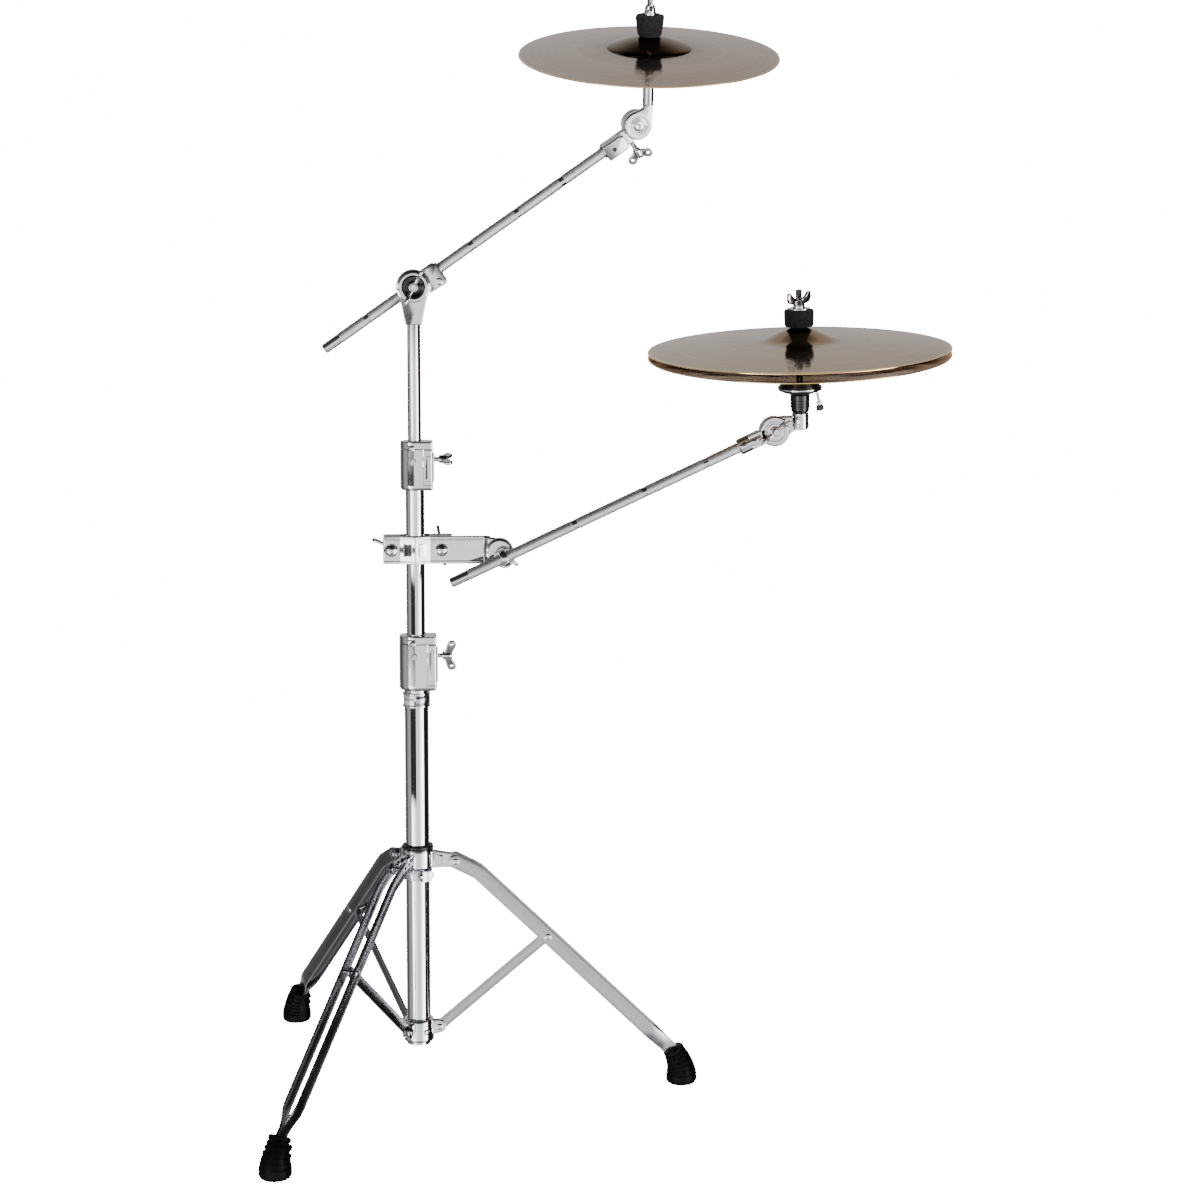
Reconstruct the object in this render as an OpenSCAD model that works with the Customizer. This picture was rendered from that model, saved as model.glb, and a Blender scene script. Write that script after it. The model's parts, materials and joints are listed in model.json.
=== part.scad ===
// Double-braced boom stand that carries one boom cymbal and a closed pair of hi-hat cymbals.
// Millimetres, +Z up. The origin is where the stand's main tube axis meets the floor.
// The long boom and the hi-hat arm both reach towards +X, and the front is towards -Y.

/* [Tripod] */
// Distance from the tube axis to the middle of each foot
foot_radius = 318; // [295:1:330]
// Width of the flat steel leg strips
leg_w = 17; // [14:0.5:20]
// Width of the flat steel braces
brace_w = 13; // [10:0.5:16]
// Direction of the first leg, about the tube
first_leg = 0; // [-20:1:20]

/* [Tubes and rods] */
// Outer diameter of the lower tube
lower_d = 28.6; // [28.6:0.1:28.8]
// Outer diameter of the middle tube
middle_d = 22.2; // [22:0.1:22.3]
// Outer diameter of the upper tube
upper_d = 15.9; // [15.7:0.1:16]
// Wall of the three tubes
wall = 1.5; // [1.3:0.05:1.55]
// Diameter of the two knurled rods
rod_d = 12.7; // [12:0.1:13]

/* [Boom] */
// Angle of the boom rod above level
boom_angle = 35; // [20:1:50]
// Roll of the cymbal tilter about the boom rod
boom_roll = 20; // [0:1:25]
// Height of the boom tilter's axis
tilt_z = 966; // [945:1:1000]
// Diameter of the boom cymbal
boom_cymbal_d = 304.8; // [254:0.1:330]

/* [Hi-hat arm] */
// Angle of the hi-hat rod above level
hat_angle = 24.9; // [10:0.1:35]
// Diameter of the two hi-hat cymbals
hat_d = 355.6; // [330:0.1:360]
// Lean of the hi-hat cymbals towards the front
hat_lean = 5.5; // [0:0.5:8]

/* [Hidden] */
$fn = 48;

fit = 0.05;             // radial running clearance of a pin, shaft or slide
slack = 0.4;            // side clearance between parts that pass each other

// Tripod, as distances from the tube axis and heights
leg_top = [45, 281];    // leg pivot on the collar
leg_bend = [72, 267];   // where each strip bends
leg_end = [foot_radius - 12.5, 41];  // where it enters the foot
strip_t = 2.5;
strip_y = 8.25;         // middle of each strip, either side of the leg's own plane
toe_y = 1.6;            // the same where the strips run into the foot
close_run = 36;         // the strips start to close up this far before the foot
leg_slope = atan2(leg_bend[1] - leg_end[1], leg_end[0] - leg_bend[0]);
leg_run = norm(leg_end - leg_bend);
rivet_run = 116.1;      // from the bend to the brace rivet, along the strip
collar_z = 273.4;       // underside of the collar, which rests just above the stop ring
ring_z = 260;
band_z = 469;
rivet = leg_bend + rivet_run * [cos(leg_slope), -sin(leg_slope)];
base_pivot = [25, 77];  // brace pivot on the base bracket
pin_d = 5;

// Heights along the main tube
tube_bottom = 57;
lower_clamp_z = 490;
lower_clamp_h = 65;
upper_clamp_z = 728;
upper_clamp_h = 58;
middle_bottom = 195;
upper_bottom = 565;
post_z = 922;           // bottom of the boom tilter's post

// Boom
boom_y = 17;            // the boom rod runs beside the tube, so it can fold down past it
drum_r = 20.5;
head_u = 324;           // tilter centre, along the rod from the boom tilter's axis
head_v = 4.7;
boom_seat_h = 95;       // cymbal seat, up the tilter's post
stud_d = 8;
tail_d = rod_d - 0.7;   // the smooth free end of each rod, behind its knurl

// Multi-clamp and hi-hat arm
clamp_z = 657.5;
clamp_h = 33;
hub_x = 99;
hat_rod_y = -34;
eye_x = 104;
eye_z = 650;
socket_u = 350;         // hi-hat tilter's axis, along the rod from the eye bolt
hat_rim_z = 94.5;       // top hi-hat cymbal's rim plane, up the stack
hat_gape = 1.3;         // extra lean of the bottom cymbal
stack_x = 453;
stack_y = -31;
stack_z = 799;

// ---------- shared shapes ----------

module tube(d, z0, z1) {
    translate([0, 0, z0]) difference() {
        cylinder(d = d, h = z1 - z0);
        translate([0, 0, -1]) cylinder(d = d - 2 * wall, h = z1 - z0 + 2);
    }
}

// A flat bar with round ends, from a to b in the drawing plane
module bar(a, b, w) {
    run = b - a;
    translate(a) circle(d = w);
    translate(b) circle(d = w);
    translate(a) rotate(atan2(run[1], run[0])) translate([0, -w / 2]) square([norm(run), w]);
}

// The same with a square end at a, for an ear that starts inside a wall
module ear(a, b, w) {
    run = b - a;
    translate(b) circle(d = w);
    translate(a) rotate(atan2(run[1], run[0])) translate([0, -w / 2]) square([norm(run), w]);
}

// Turns a drawing in x-z into a plate that is t thick about y = mid
module plate_xz(t, mid = 0) {
    translate([0, mid + t / 2, 0]) rotate([90, 0, 0]) linear_extrude(t) children();
}

// A cylinder along +Y from y0 to y1
module rod_y(d, y0, y1) {
    translate([0, y0, 0]) rotate([-90, 0, 0]) cylinder(d = d, h = y1 - y0);
}

// A cylinder along +X from x0 to x1
module rod_x(d, x0, x1) {
    translate([x0, 0, 0]) rotate([0, 90, 0]) cylinder(d = d, h = x1 - x0);
}

// Two upswept wings on a hub; the thread runs along +Z
module wing_nut(hub_d, hub_h, bore_d, span, wing_h, thick) {
    difference() {
        union() {
            cylinder(d1 = hub_d, d2 = hub_d * 0.8, h = hub_h);
            plate_xz(thick) {
                bar([-hub_d * 0.2, hub_h * 0.45], [-span / 2 + 5, wing_h - 5], 10);
                bar([hub_d * 0.2, hub_h * 0.45], [span / 2 - 5, wing_h - 5], 10);
            }
        }
        translate([0, 0, -20]) cylinder(d = bore_d, h = wing_h + 40);
        translate([0, 0, -20]) cylinder(d = hub_d + span, h = 20);
    }
}

// A shank with a hub and two round wings at its outer end; the shank runs along -Z from z = 0
module wing_screw(shank_d, shank_l, span) {
    translate([0, 0, -shank_l]) cylinder(d = shank_d, h = shank_l + 4);
    cylinder(d = 10, h = 12);
    difference() {
        plate_xz(4) {
            bar([-3, 6], [-span / 2 + 5.5, 11], 11);
            bar([3, 6], [span / 2 - 5.5, 11], 11);
        }
        for (side = [-1, 1]) {
            translate([side * (span / 2 - 5.5), 0, 11]) rod_y(4.4, -5, 5);
        }
    }
}

// Height of a cymbal above its rim plane at radius r, for a bow of height bow and a smooth bell on top of it
function cymbal_z(r, rim_r, bow, bell_r, bell) =
    bow * (1 - pow(r / rim_r, 2)) + (r < bell_r ? bell * pow(cos(90 * r / bell_r), 1.7) : 0);

// A cymbal with its rim plane at z = 0 and its bell up
module cymbal(d, bow, bell_r, bell, thick, hole_d) {
    rim_r = d / 2;
    steps = 26;
    radii = [for (i = [0:steps]) hole_d / 2 + (rim_r - hole_d / 2) * i / steps];
    top = [for (r = radii) [r, cymbal_z(r, rim_r, bow, bell_r, bell) + thick]];
    under = [for (i = [steps:-1:0]) [radii[i], cymbal_z(radii[i], rim_r, bow, bell_r, bell)]];
    rotate_extrude($fn = 96) polygon(concat(top, under));
}

module felt_ring(d1, d2, h, hole_d) {
    difference() {
        cylinder(d1 = d1, d2 = d2, h = h);
        translate([0, 0, -1]) cylinder(d = hole_d, h = h + 2);
    }
}

// ---------- places ----------

module at_leg(k) {
    rotate([0, 0, first_leg + 120 * (k - 1)]) children();
}

// The boom tilter's axis is local Y and the rod runs along local X
module at_boom() {
    translate([0, boom_y, tilt_z]) rotate([0, -boom_angle, 0]) children();
}

module at_socket() {
    at_boom() rotate([boom_roll, 0, 0]) children();
}

// The cymbal tilter's centre, with local Z up its post
module at_head() {
    at_socket() translate([head_u, 0, head_v]) rotate([0, boom_angle, 0]) children();
}

module at_post() {
    at_head() translate([13, -2, 0]) rotate([0, -2, 0]) children();
}

module at_hat_rod() {
    translate([eye_x, hat_rod_y, eye_z]) rotate([0, -hat_angle, 0]) children();
}

module at_hat_tilter() {
    at_hat_rod() translate([socket_u, 0, 0]) rotate([0, hat_angle, 0]) children();
}

// The hi-hat cymbals' own axis is local Z
module at_stack() {
    translate([stack_x, stack_y, stack_z]) rotate([hat_lean, -2, 0]) children();
}

// ---------- main tube, base and tripod ----------

module lower_tube() {
    color("silver") tube(lower_d, tube_bottom, lower_clamp_z + 30);
}

module base_bracket() {
    color("silver") difference() {
        union() {
            translate([0, 0, base_pivot[1] - 16]) cylinder(d = lower_d + 8, h = 27);
            for (k = [1:3]) {
                at_leg(k) for (side = [-1, 1]) {
                    plate_xz(2.5, side * 3.6) bar([15, base_pivot[1] - 1], base_pivot, 15);
                }
            }
            for (k = [1:3]) {
                rotate([0, 0, first_leg + 120 * k - 60]) translate([0, 0, base_pivot[1] - 3]) rod_x(7, 15, 20);
            }
        }
        translate([0, 0, base_pivot[1] - 30]) cylinder(d = lower_d + 2 * fit, h = 60);
        for (k = [1:3]) {
            at_leg(k) translate([base_pivot[0], 0, base_pivot[1]]) rod_y(pin_d + 2 * fit, -12, 12);
            at_leg(k) translate([17.6, -2.3, base_pivot[1] - 25]) cube([20, 4.6, 40]);
        }
    }
}

module stop_ring() {
    color("gainsboro") difference() {
        union() {
            translate([0, 0, ring_z]) cylinder(d = lower_d + 6, h = 12.5);
            rotate([0, 0, -60]) translate([13, -7, ring_z]) cube([11, 14, 12.5]);
        }
        translate([0, 0, ring_z - 5]) cylinder(d = lower_d + 2 * fit, h = 20);
        rotate([0, 0, -60]) translate([12, -0.75, ring_z - 5]) cube([14, 1.5, 20]);
    }
    color("silver") rotate([0, 0, -60]) translate([19.5, 0, ring_z + 6.2]) {
        rod_y(6.5, 7, 10);
        rod_y(6.5, -10, -7);
    }
}

module collar() {
    color("silver") difference() {
        union() {
            translate([0, 0, collar_z]) cylinder(d = 38.6, h = 24);
            for (k = [1:3]) {
                at_leg(k) for (side = [-1, 1]) {
                    plate_xz(2.5, side * 5) ear([18, leg_top[1] + 4], leg_top, 15);
                    translate([28, 0, leg_top[1] + 5]) rod_y(6, side > 0 ? 6 : -7.2, side > 0 ? 7.2 : -6);
                }
            }
        }
        translate([0, 0, collar_z - 8]) cylinder(d = 33.8, h = 40);
        for (k = [1:3]) {
            at_leg(k) translate([leg_top[0], 0, leg_top[1]]) rod_y(pin_d + 2 * fit, -12, 12);
        }
    }
}

module collar_bush() {
    color([0.08, 0.08, 0.08]) difference() {
        union() {
            translate([0, 0, collar_z + 0.5]) cylinder(d = 33.6, h = 27.5);
            translate([0, 0, collar_z + 24.1]) cylinder(d = 38, h = 3.9);
        }
        translate([0, 0, collar_z - 8]) cylinder(d = lower_d + 1.4, h = 40);
    }
}

// The leg strip seen from the side: round at the collar, mitred at the bend and square where the toe starts
module strip_outline() {
    half_w = leg_w / 2;
    top_slope = atan2(leg_top[1] - leg_bend[1], leg_bend[0] - leg_top[0]);
    half_turn = (leg_slope - top_slope) / 2;
    up_top = half_w * [sin(top_slope), cos(top_slope)];
    up_bend = half_w / cos(half_turn) * [sin(top_slope + half_turn), cos(top_slope + half_turn)];
    up_end = half_w * [sin(leg_slope), cos(leg_slope)];
    stop = leg_end - close_run * [cos(leg_slope), -sin(leg_slope)];
    polygon([leg_top + up_top, leg_bend + up_bend, stop + up_end,
             stop - up_end, leg_bend - up_bend, leg_top - up_top]);
    translate(leg_top) circle(d = leg_w);
}

// One leg: two bent strips that close up at the foot, the pin at the collar and the rivet at the brace
module leg(k) {
    color("silver") at_leg(k) {
        for (side = [-1, 1]) {
            difference() {
                union() {
                    plate_xz(strip_t, side * strip_y) strip_outline();
                    translate([leg_end[0], 0, leg_end[1]]) rotate([0, leg_slope, 0]) leg_toe(side);
                }
                translate([leg_top[0], 0, leg_top[1]]) rod_y(pin_d + 2 * fit, -12, 12);
                translate([rivet[0], 0, rivet[1]]) rod_y(pin_d + 2 * fit, -12, 12);
            }
        }
        translate([leg_top[0], 0, leg_top[1]]) pin(11);
        translate([rivet[0], 0, rivet[1]]) pin(11);
    }
}

// The last stretch of one strip, along local X: it slants inwards and then runs into the foot.
// It is a little slimmer than the strip, so that it starts inside the strip's end.
module leg_toe(side) {
    half_t = strip_t / 2 - 0.1;
    translate([0, 0, 0.2 - leg_w / 2]) linear_extrude(leg_w - 0.4) polygon([
        [-close_run - 3, side * (strip_y + half_t)], [-close_run, side * (strip_y + half_t)],
        [-close_run + 30, side * (toe_y + half_t)],
        [14, side * (toe_y + half_t)], [14, side * (toe_y - half_t)],
        [-close_run + 30, side * (toe_y - half_t)], [-close_run, side * (strip_y - half_t)],
        [-close_run - 3, side * (strip_y - half_t)]]);
}

// A headed pin through the leg, along Y
module pin(reach) {
    rod_y(pin_d, -reach, reach);
    rod_y(8.6, strip_y + strip_t / 2 + fit, reach);
    rod_y(8.6, -reach, -strip_y - strip_t / 2 - fit);
}

// A bent rubber boot, upright at the floor and turned towards the leg at its mouth
module foot(k) {
    color([0.1, 0.1, 0.1]) at_leg(k) difference() {
        union() {
            translate([foot_radius, 0, 0]) cylinder(d1 = 33, d2 = 37, h = 3);
            translate([foot_radius, 0, 3]) cylinder(d = 37, h = 7);
            translate([foot_radius, 0, 10]) cylinder(d1 = 37, d2 = 31, h = 9);
            translate([foot_radius - 1.5, 0, 17]) sphere(d = 31);
            translate([foot_radius - 1.5, 0, 17]) rotate([0, -27, 0]) cylinder(d1 = 30, d2 = 25.6, h = 28);
        }
        translate([leg_end[0], 0, leg_end[1]]) rotate([0, leg_slope, 0])
            translate([-30, -toe_y - strip_t / 2 - 0.1, -leg_w / 2 - 0.1])
                cube([44.5, 2 * toe_y + strip_t + 0.2, leg_w + 0.2]);
    }
}

module brace(k) {
    color("silver") at_leg(k) {
        difference() {
            plate_xz(3) bar(base_pivot, rivet, brace_w);
            translate([rivet[0], 0, rivet[1]]) rod_y(pin_d + 2 * (k == 1 ? fit : 0.4), -5, 5);
            translate([base_pivot[0], 0, base_pivot[1]]) rod_y(pin_d + 2 * fit, -5, 5);
        }
        translate([base_pivot[0], 0, base_pivot[1]]) {
            rod_y(pin_d, -6.6, 6.6);
            rod_y(8, 5.1, 6.8);
            rod_y(8, -6.8, -5.1);
        }
    }
}

module badge_band() {
    color("silver") difference() {
        union() {
            translate([0, 0, band_z]) cylinder(d = lower_d + 3, h = 17);
            for (z = [0.6, 14.4]) {
                translate([0, 0, band_z + z]) cylinder(d = lower_d + 4.6, h = 2);
            }
        }
        translate([0, 0, band_z - 5]) cylinder(d = lower_d + 2 * fit, h = 30);
    }
}

// ---------- height clamps ----------
// Each is a casting on the end of one tube. It holds a nylon bush, and its jaw is pulled in by a wing screw.

// The outline that the casting and its jaw share, seen from above
module clamp_outline(r) {
    circle(r = r);
    translate([0, -r]) square([r + 4.5, 2 * r - 6]);
}

module jaw_outline(r) {
    intersection() {
        clamp_outline(r);
        translate([r - 6.5, -r - 1]) square([14, 2 * r - 7]);
    }
}

module clamp_casting(r, z, h, outer_d, inner_d) {
    color("silver") difference() {
        translate([0, 0, z]) linear_extrude(h) clamp_outline(r);
        translate([0, 0, z + 6]) linear_extrude(h - 16) offset_jaw(r);
        translate([0, 0, z - 1]) cylinder(d = outer_d + 2 * fit, h = h * 0.45 + 2);
        translate([0, 0, z]) cylinder(d = outer_d - 2 * wall, h = h - 8);
        translate([0, 0, z + h - 9.8]) cylinder(d = outer_d + 2 * fit, h = 3.3);
        translate([0, 0, z - 1]) cylinder(d = inner_d + 1.2, h = h + 2);
        translate([0, -r * 0.45, z + h * 0.63]) rod_x(6 + 2 * fit, 0, 40);
    }
}

// The jaw's outline, grown by its clearance on the casting side
module offset_jaw(r) {
    translate([r - 6.5 - slack, -r - 1]) square([16, 2 * r - 7 + slack]);
}

module clamp_jaw(r, z, h) {
    color("silver") difference() {
        union() {
            translate([0, 0, z + 6.4]) linear_extrude(h - 16.8) jaw_outline(r);
            translate([r + 4, -r * 0.45 - 4.5, z + 10]) cube([2, 9, h - 24]);
        }
        translate([0, -r * 0.45, z + h * 0.63]) rod_x(6.9, 0, 40);
        translate([0, 0, z]) cylinder(r = r - 5, h = h);
    }
}

module clamp_screws(r, z, h) {
    color("silver") {
        translate([-4, 0, z + h - 8]) {
            rod_y(4.6, -r - 2.9, -r + 4);
            translate([0, -r - 2.9, 0]) sphere(d = 8);
        }
        translate([-2, -r - 3.4, z + h - 24]) rotate([-90, 0, 0]) cylinder(d = 8, h = 3.4, $fn = 6);
        translate([-2, 0, z + h - 24]) rod_y(4, -r - 1, -r + 4);
    }
}

module clamp_bush(outer_d, inner_d, z, h) {
    color([0.12, 0.12, 0.12]) difference() {
        union() {
            translate([0, 0, z + h - 50]) cylinder(d = outer_d - 2 * wall - 2 * fit, h = 42);
            translate([0, 0, z + h - 9.4]) cylinder(d = outer_d - 0.6, h = 2.6);
        }
        translate([0, 0, z]) cylinder(d = inner_d + 2 * fit, h = h);
    }
}

module lower_clamp() {
    difference() {
        clamp_casting(20, lower_clamp_z, lower_clamp_h, lower_d, middle_d);
        screw_holes(20, lower_clamp_z, lower_clamp_h);
    }
}

module screw_holes(r, z, h) {
    translate([-4, 0, z + h - 8]) rod_y(5.2, -r - 2, -r + 4.1);
    translate([-2, 0, z + h - 24]) rod_y(4 + 2 * fit, -r - 2, -r + 4.1);
}

module lower_clamp_screws() {
    clamp_screws(20, lower_clamp_z, lower_clamp_h);
}

module lower_jaw() {
    clamp_jaw(20, lower_clamp_z, lower_clamp_h);
}

module lower_wing_screw() {
    color("silver") translate([31, -9, lower_clamp_z + lower_clamp_h * 0.63]) rotate([0, 90, 0])
        rotate([0, 0, 24]) wing_screw(6, 19.3, 41);
}

module lower_bush() {
    clamp_bush(lower_d, middle_d, lower_clamp_z, lower_clamp_h);
}

module middle_tube() {
    color("silver") tube(middle_d, middle_bottom, upper_clamp_z + 26);
}

module upper_clamp() {
    difference() {
        clamp_casting(17, upper_clamp_z, upper_clamp_h, middle_d, upper_d);
        screw_holes(17, upper_clamp_z, upper_clamp_h);
    }
}

module upper_clamp_screws() {
    clamp_screws(17, upper_clamp_z, upper_clamp_h);
}

module upper_jaw() {
    clamp_jaw(17, upper_clamp_z, upper_clamp_h);
}

module upper_wing_screw() {
    color("silver") translate([28, -7.65, upper_clamp_z + upper_clamp_h * 0.63]) rotate([0, 90, 0])
        rotate([0, 0, -75]) wing_screw(6, 19.2, 34);
}

module upper_bush() {
    clamp_bush(middle_d, upper_d, upper_clamp_z, upper_clamp_h);
}

// ---------- boom tilter ----------

module upper_tube() {
    color("silver") tube(upper_d, upper_bottom, post_z + 16);
}

// Neck on the upper tube, with half of the ratchet drum in front
module tilter_post() {
    color("silver") difference() {
        union() {
            plate_xz(19) polygon([[-10, post_z], [10, post_z], [13.6, post_z + 22], [-13.6, post_z + 22]]);
            plate_xz(8, -5.5) {
                polygon([[-10, post_z], [10, post_z], [16.5, tilt_z - 12], [-16.5, tilt_z - 12]]);
                translate([0, tilt_z]) circle(r = drum_r);
            }
            translate([0, 0, tilt_z]) rod_y(35, -13, -9);
        }
        translate([0, 0, post_z - 1]) cylinder(d = upper_d + 2 * fit, h = 17);
        translate([0, 0, tilt_z]) rod_y(8 + 2 * fit, -20, 5);
        translate([0, 0, tilt_z]) rod_y(27, -20, -11);
    }
}

// Eye bolt that is the tilter's axle: its eye holds the rod inside the drum, so the wing nut grips both
module tilter_bolt() {
    color("silver") at_boom() difference() {
        union() {
            rod_x(20, -4.2, 4.2);
            rod_y(8, -boom_y - 25, -8);
        }
        rod_x(rod_d + 2 * fit, -10, 10);
    }
}

// The other half of the drum, with the block that grips the rod
module tilter_drum() {
    color("silver") at_boom() difference() {
        union() {
            rod_y(2 * drum_r, -18, 13.4);
            translate([18, -16, -19]) cube([19.5, 29, 30]);
        }
        rod_y(8 + 2 * fit, -30, 0);
        rod_x(20.6, -4.6, 4.6);
        rod_x(rod_d + 2 * fit, -40, 60);
    }
}

module rod_clamp_bolt() {
    color("silver") at_boom() translate([28.5, 0, -12.2]) {
        rod_y(9, -20.5, -16);
        rod_y(9, 13, 16);
    }
}

module tilter_wing_nut() {
    color("silver") translate([0, -11.4, tilt_z]) rotate([90, 0, 0]) rotate([0, 0, 62])
        wing_nut(14.4, 9, 8 + 2 * fit, 46, 15, 4.2);
}

// ---------- boom rod and cymbal tilter ----------

module boom_rod() {
    color("lightgray") at_boom() {
        rod_x(rod_d, -105, 297);
        rod_x(tail_d, -127, -104);
        translate([-128.5, 0, 0]) rotate([0, 90, 0]) cylinder(d1 = tail_d - 3, d2 = tail_d, h = 1.5);
    }
}

// Block on the rod's end, with the rear half of the tilter
module boom_socket() {
    color("silver") at_socket() difference() {
        union() {
            translate([274, -9, -12]) cube([29, 18, 20]);
            translate([head_u, 0, head_v]) rod_y(35, 0.4, 9);
            translate([296, 0.4, -12]) cube([18, 8.6, 20]);
        }
        rod_x(rod_d + 2 * fit, 200, 297.2);
        translate([head_u, 0, head_v]) rod_y(6 + 2 * fit, -5, 20);
        translate([308, 4.6, -30]) cylinder(d = 6 + 2 * fit, h = 24);
    }
}

// Teardrop plate with the cymbal post
module boom_head() {
    color("silver") {
        at_head() {
            rod_y(34.4, -9, -0.4);
            plate_xz(8.6, -4.7) polygon([[17.2, 0], [17.6, 26], [8, 26], [5, 20], [-8, 15.2], [0, 0]]);
            rod_y(6, -9, 12);
            rod_y(10, 9.4, 12);
        }
        at_post() {
            translate([0, 0, 22]) cylinder(d = 13, h = boom_seat_h - 26);
            translate([0, 0, 40]) cylinder(d = stud_d, h = boom_seat_h + 20);
        }
    }
}

module boom_wing_screw() {
    color("silver") at_socket() translate([308, 4.6, -22]) rotate([180, 0, 0]) rotate([0, 0, 20])
        wing_screw(6, 14, 32);
}

// Plastic sleeve with the washer that the cymbal sits over
module boom_sleeve() {
    color([0.08, 0.08, 0.08]) at_post() translate([0, 0, boom_seat_h - 4]) difference() {
        union() {
            cylinder(d = 22, h = 3);
            cylinder(d = 10.6, h = 30);
        }
        translate([0, 0, -1]) cylinder(d = stud_d + 2 * fit, h = 40);
    }
}

module boom_lower_felt() {
    color([0.1, 0.1, 0.1]) at_post() translate([0, 0, boom_seat_h - 1]) felt_ring(30, 20, 8.4, 10.7);
}

module boom_cymbal() {
    color("darkkhaki") at_post() translate([0, 0, boom_seat_h - 13.5])
        cymbal(boom_cymbal_d, 10, 50, 13, 1.2, 13);
}

module boom_upper_felt() {
    color([0.1, 0.1, 0.1]) at_post() translate([0, 0, boom_seat_h + 11]) felt_ring(28, 34.6, 24, 10.7);
}

module boom_wing_nut() {
    color("silver") at_post() translate([0, 0, boom_seat_h + 35.4]) rotate([0, 0, 78])
        wing_nut(15, 11, stud_d + 2 * fit, 38, 22, 4);
}

// ---------- multi-clamp ----------

// Front jaw, folded round the tube and carried on as the arm to the hub
module clamp_arm() {
    half_v = 17;
    color("silver") difference() {
        union() {
            translate([0, 0, clamp_z - clamp_h / 2]) linear_extrude(clamp_h) polygon([
                [-38, -13], [-half_v, -13], [0, -21], [half_v, -13], [88, -16],
                [88, -11], [half_v + 1, -8.4], [0, -16], [-half_v - 1, -8.4], [-38, -8.4]]);
            for (z = [-clamp_h / 2, clamp_h / 2 - 4]) {
                translate([0, 0, clamp_z + z]) linear_extrude(4) polygon([
                    [-half_v - 1, -8.4], [-half_v, -13], [0, -20.5], [half_v, -13], [half_v + 1, -8.4]]);
            }
            translate([hub_x, 0, clamp_z - 2.5]) rod_y(33, -22, -7);
        }
        cylinder(d = middle_d + 0.6, h = 1000);
        for (x = [-28, 31]) {
            translate([x, 0, clamp_z]) rod_y(8 + 2 * fit, -30, 0);
        }
        translate([eye_x, 0, eye_z]) rod_y(8 + 2 * fit, -40, 0);
    }
}

module clamp_plate() {
    half_v = 17;
    color("silver") difference() {
        union() {
            translate([0, 0, clamp_z - clamp_h / 2 + 1]) linear_extrude(clamp_h - 1) polygon([
                [-38, 12], [-half_v, 12], [0, 20], [half_v, 12], [44, 12],
                [44, 8], [half_v + 1, 8], [0, 16], [-half_v - 1, 8], [-38, 8]]);
            for (z = [1 - clamp_h / 2, clamp_h / 2 - 4]) {
                translate([0, 0, clamp_z + z]) linear_extrude(4) polygon([
                    [-half_v - 1, 8], [-half_v, 12], [0, 19.5], [half_v, 12], [half_v + 1, 8]]);
            }
        }
        cylinder(d = middle_d + 0.6, h = 1000);
        for (x = [-28, 31]) {
            translate([x, 0, clamp_z]) rod_y(8 + 2 * fit, 0, 30);
        }
    }
}

module clamp_bolts() {
    color("silver") for (x = [-28, 31]) {
        translate([x, 0, clamp_z]) {
            rod_y(8, -15, 32);
            intersection() {
                translate([0, -13.4, 0]) sphere(d = 16);
                rod_y(20, -19.5, -14);
            }
        }
    }
}

module clamp_nut(x, turn) {
    color("silver") translate([x, 12.5, clamp_z]) rotate([-90, 0, 0]) rotate([0, 0, turn])
        wing_nut(15, 10, 8 + 2 * fit, 50, 20, 4);
}

module clamp_nut_1() {
    clamp_nut(-28, 20);
}

module clamp_nut_2() {
    clamp_nut(31, 80);
}

// Notched disc that the rod lies in, in front of the hub
module rod_saddle() {
    color("silver") difference() {
        translate([eye_x, 0, eye_z]) rod_y(25, -33, -22.4);
        at_hat_rod() rod_x(rod_d + 0.6, -40, 40);
        at_hat_rod() rod_x(22.2, -4.6, 4.6);
        translate([eye_x, 0, eye_z]) rod_y(8 + 2 * fit, -40, 0);
    }
}

module eye_bolt() {
    color("silver") at_hat_rod() difference() {
        union() {
            rod_x(21.6, -4.2, 4.2);
            rod_y(8, 8, 52);
        }
        rod_x(rod_d + 2 * fit, -10, 10);
    }
}

module eye_nut() {
    color("silver") translate([eye_x, -6.6, eye_z]) rotate([-90, 0, 0]) rotate([0, 0, 40])
        wing_nut(15, 10, 8 + 2 * fit, 46, 20, 4);
}

// ---------- hi-hat arm ----------

module hat_rod() {
    color("lightgray") at_hat_rod() {
        rod_x(rod_d, -46, 328);
        rod_x(tail_d, -68, -45);
        translate([-69.5, 0, 0]) rotate([0, 90, 0]) cylinder(d1 = tail_d - 3, d2 = tail_d, h = 1.5);
    }
}

// Sleeve on the rod's end, with the front disc of the tilter
module hat_socket() {
    color("silver") at_hat_rod() difference() {
        union() {
            rod_x(20, 304, 334);
            translate([socket_u, 0, 0]) rod_y(36, -9, -0.4);
            translate([326, -9, -9]) cube([14, 8.6, 18]);
        }
        rod_x(rod_d + 2 * fit, 200, 328.2);
        translate([socket_u, 0, 0]) rod_y(17.2 * 2 + 2.6, 0, 12);
        translate([socket_u, 0, 0]) rod_y(8 + 2 * fit, -20, 5);
    }
}

// Rear disc, the arm to the post, the post, and the bolt that the wing nut turns on
module hat_head() {
    color("silver") {
        at_hat_tilter() {
            rod_y(36, 0.4, 9);
            plate_xz(8.6, 4.7) polygon([[0, 17], [22, 19], [30, 18], [30, 4], [20, -4], [16, -8]]);
            rod_y(8, -24, 5);
        }
        at_stack() {
            cylinder(d = 19.6, h = 21);
            translate([0, 0, 20]) cylinder(d = 12, h = 34);
        }
    }
}

module hat_wing_nut() {
    color("silver") at_hat_tilter() translate([0, -9.4, 0]) rotate([90, 0, 0]) rotate([0, 0, 38])
        wing_nut(14, 9, 8 + 2 * fit, 44, 14, 4);
}

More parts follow.
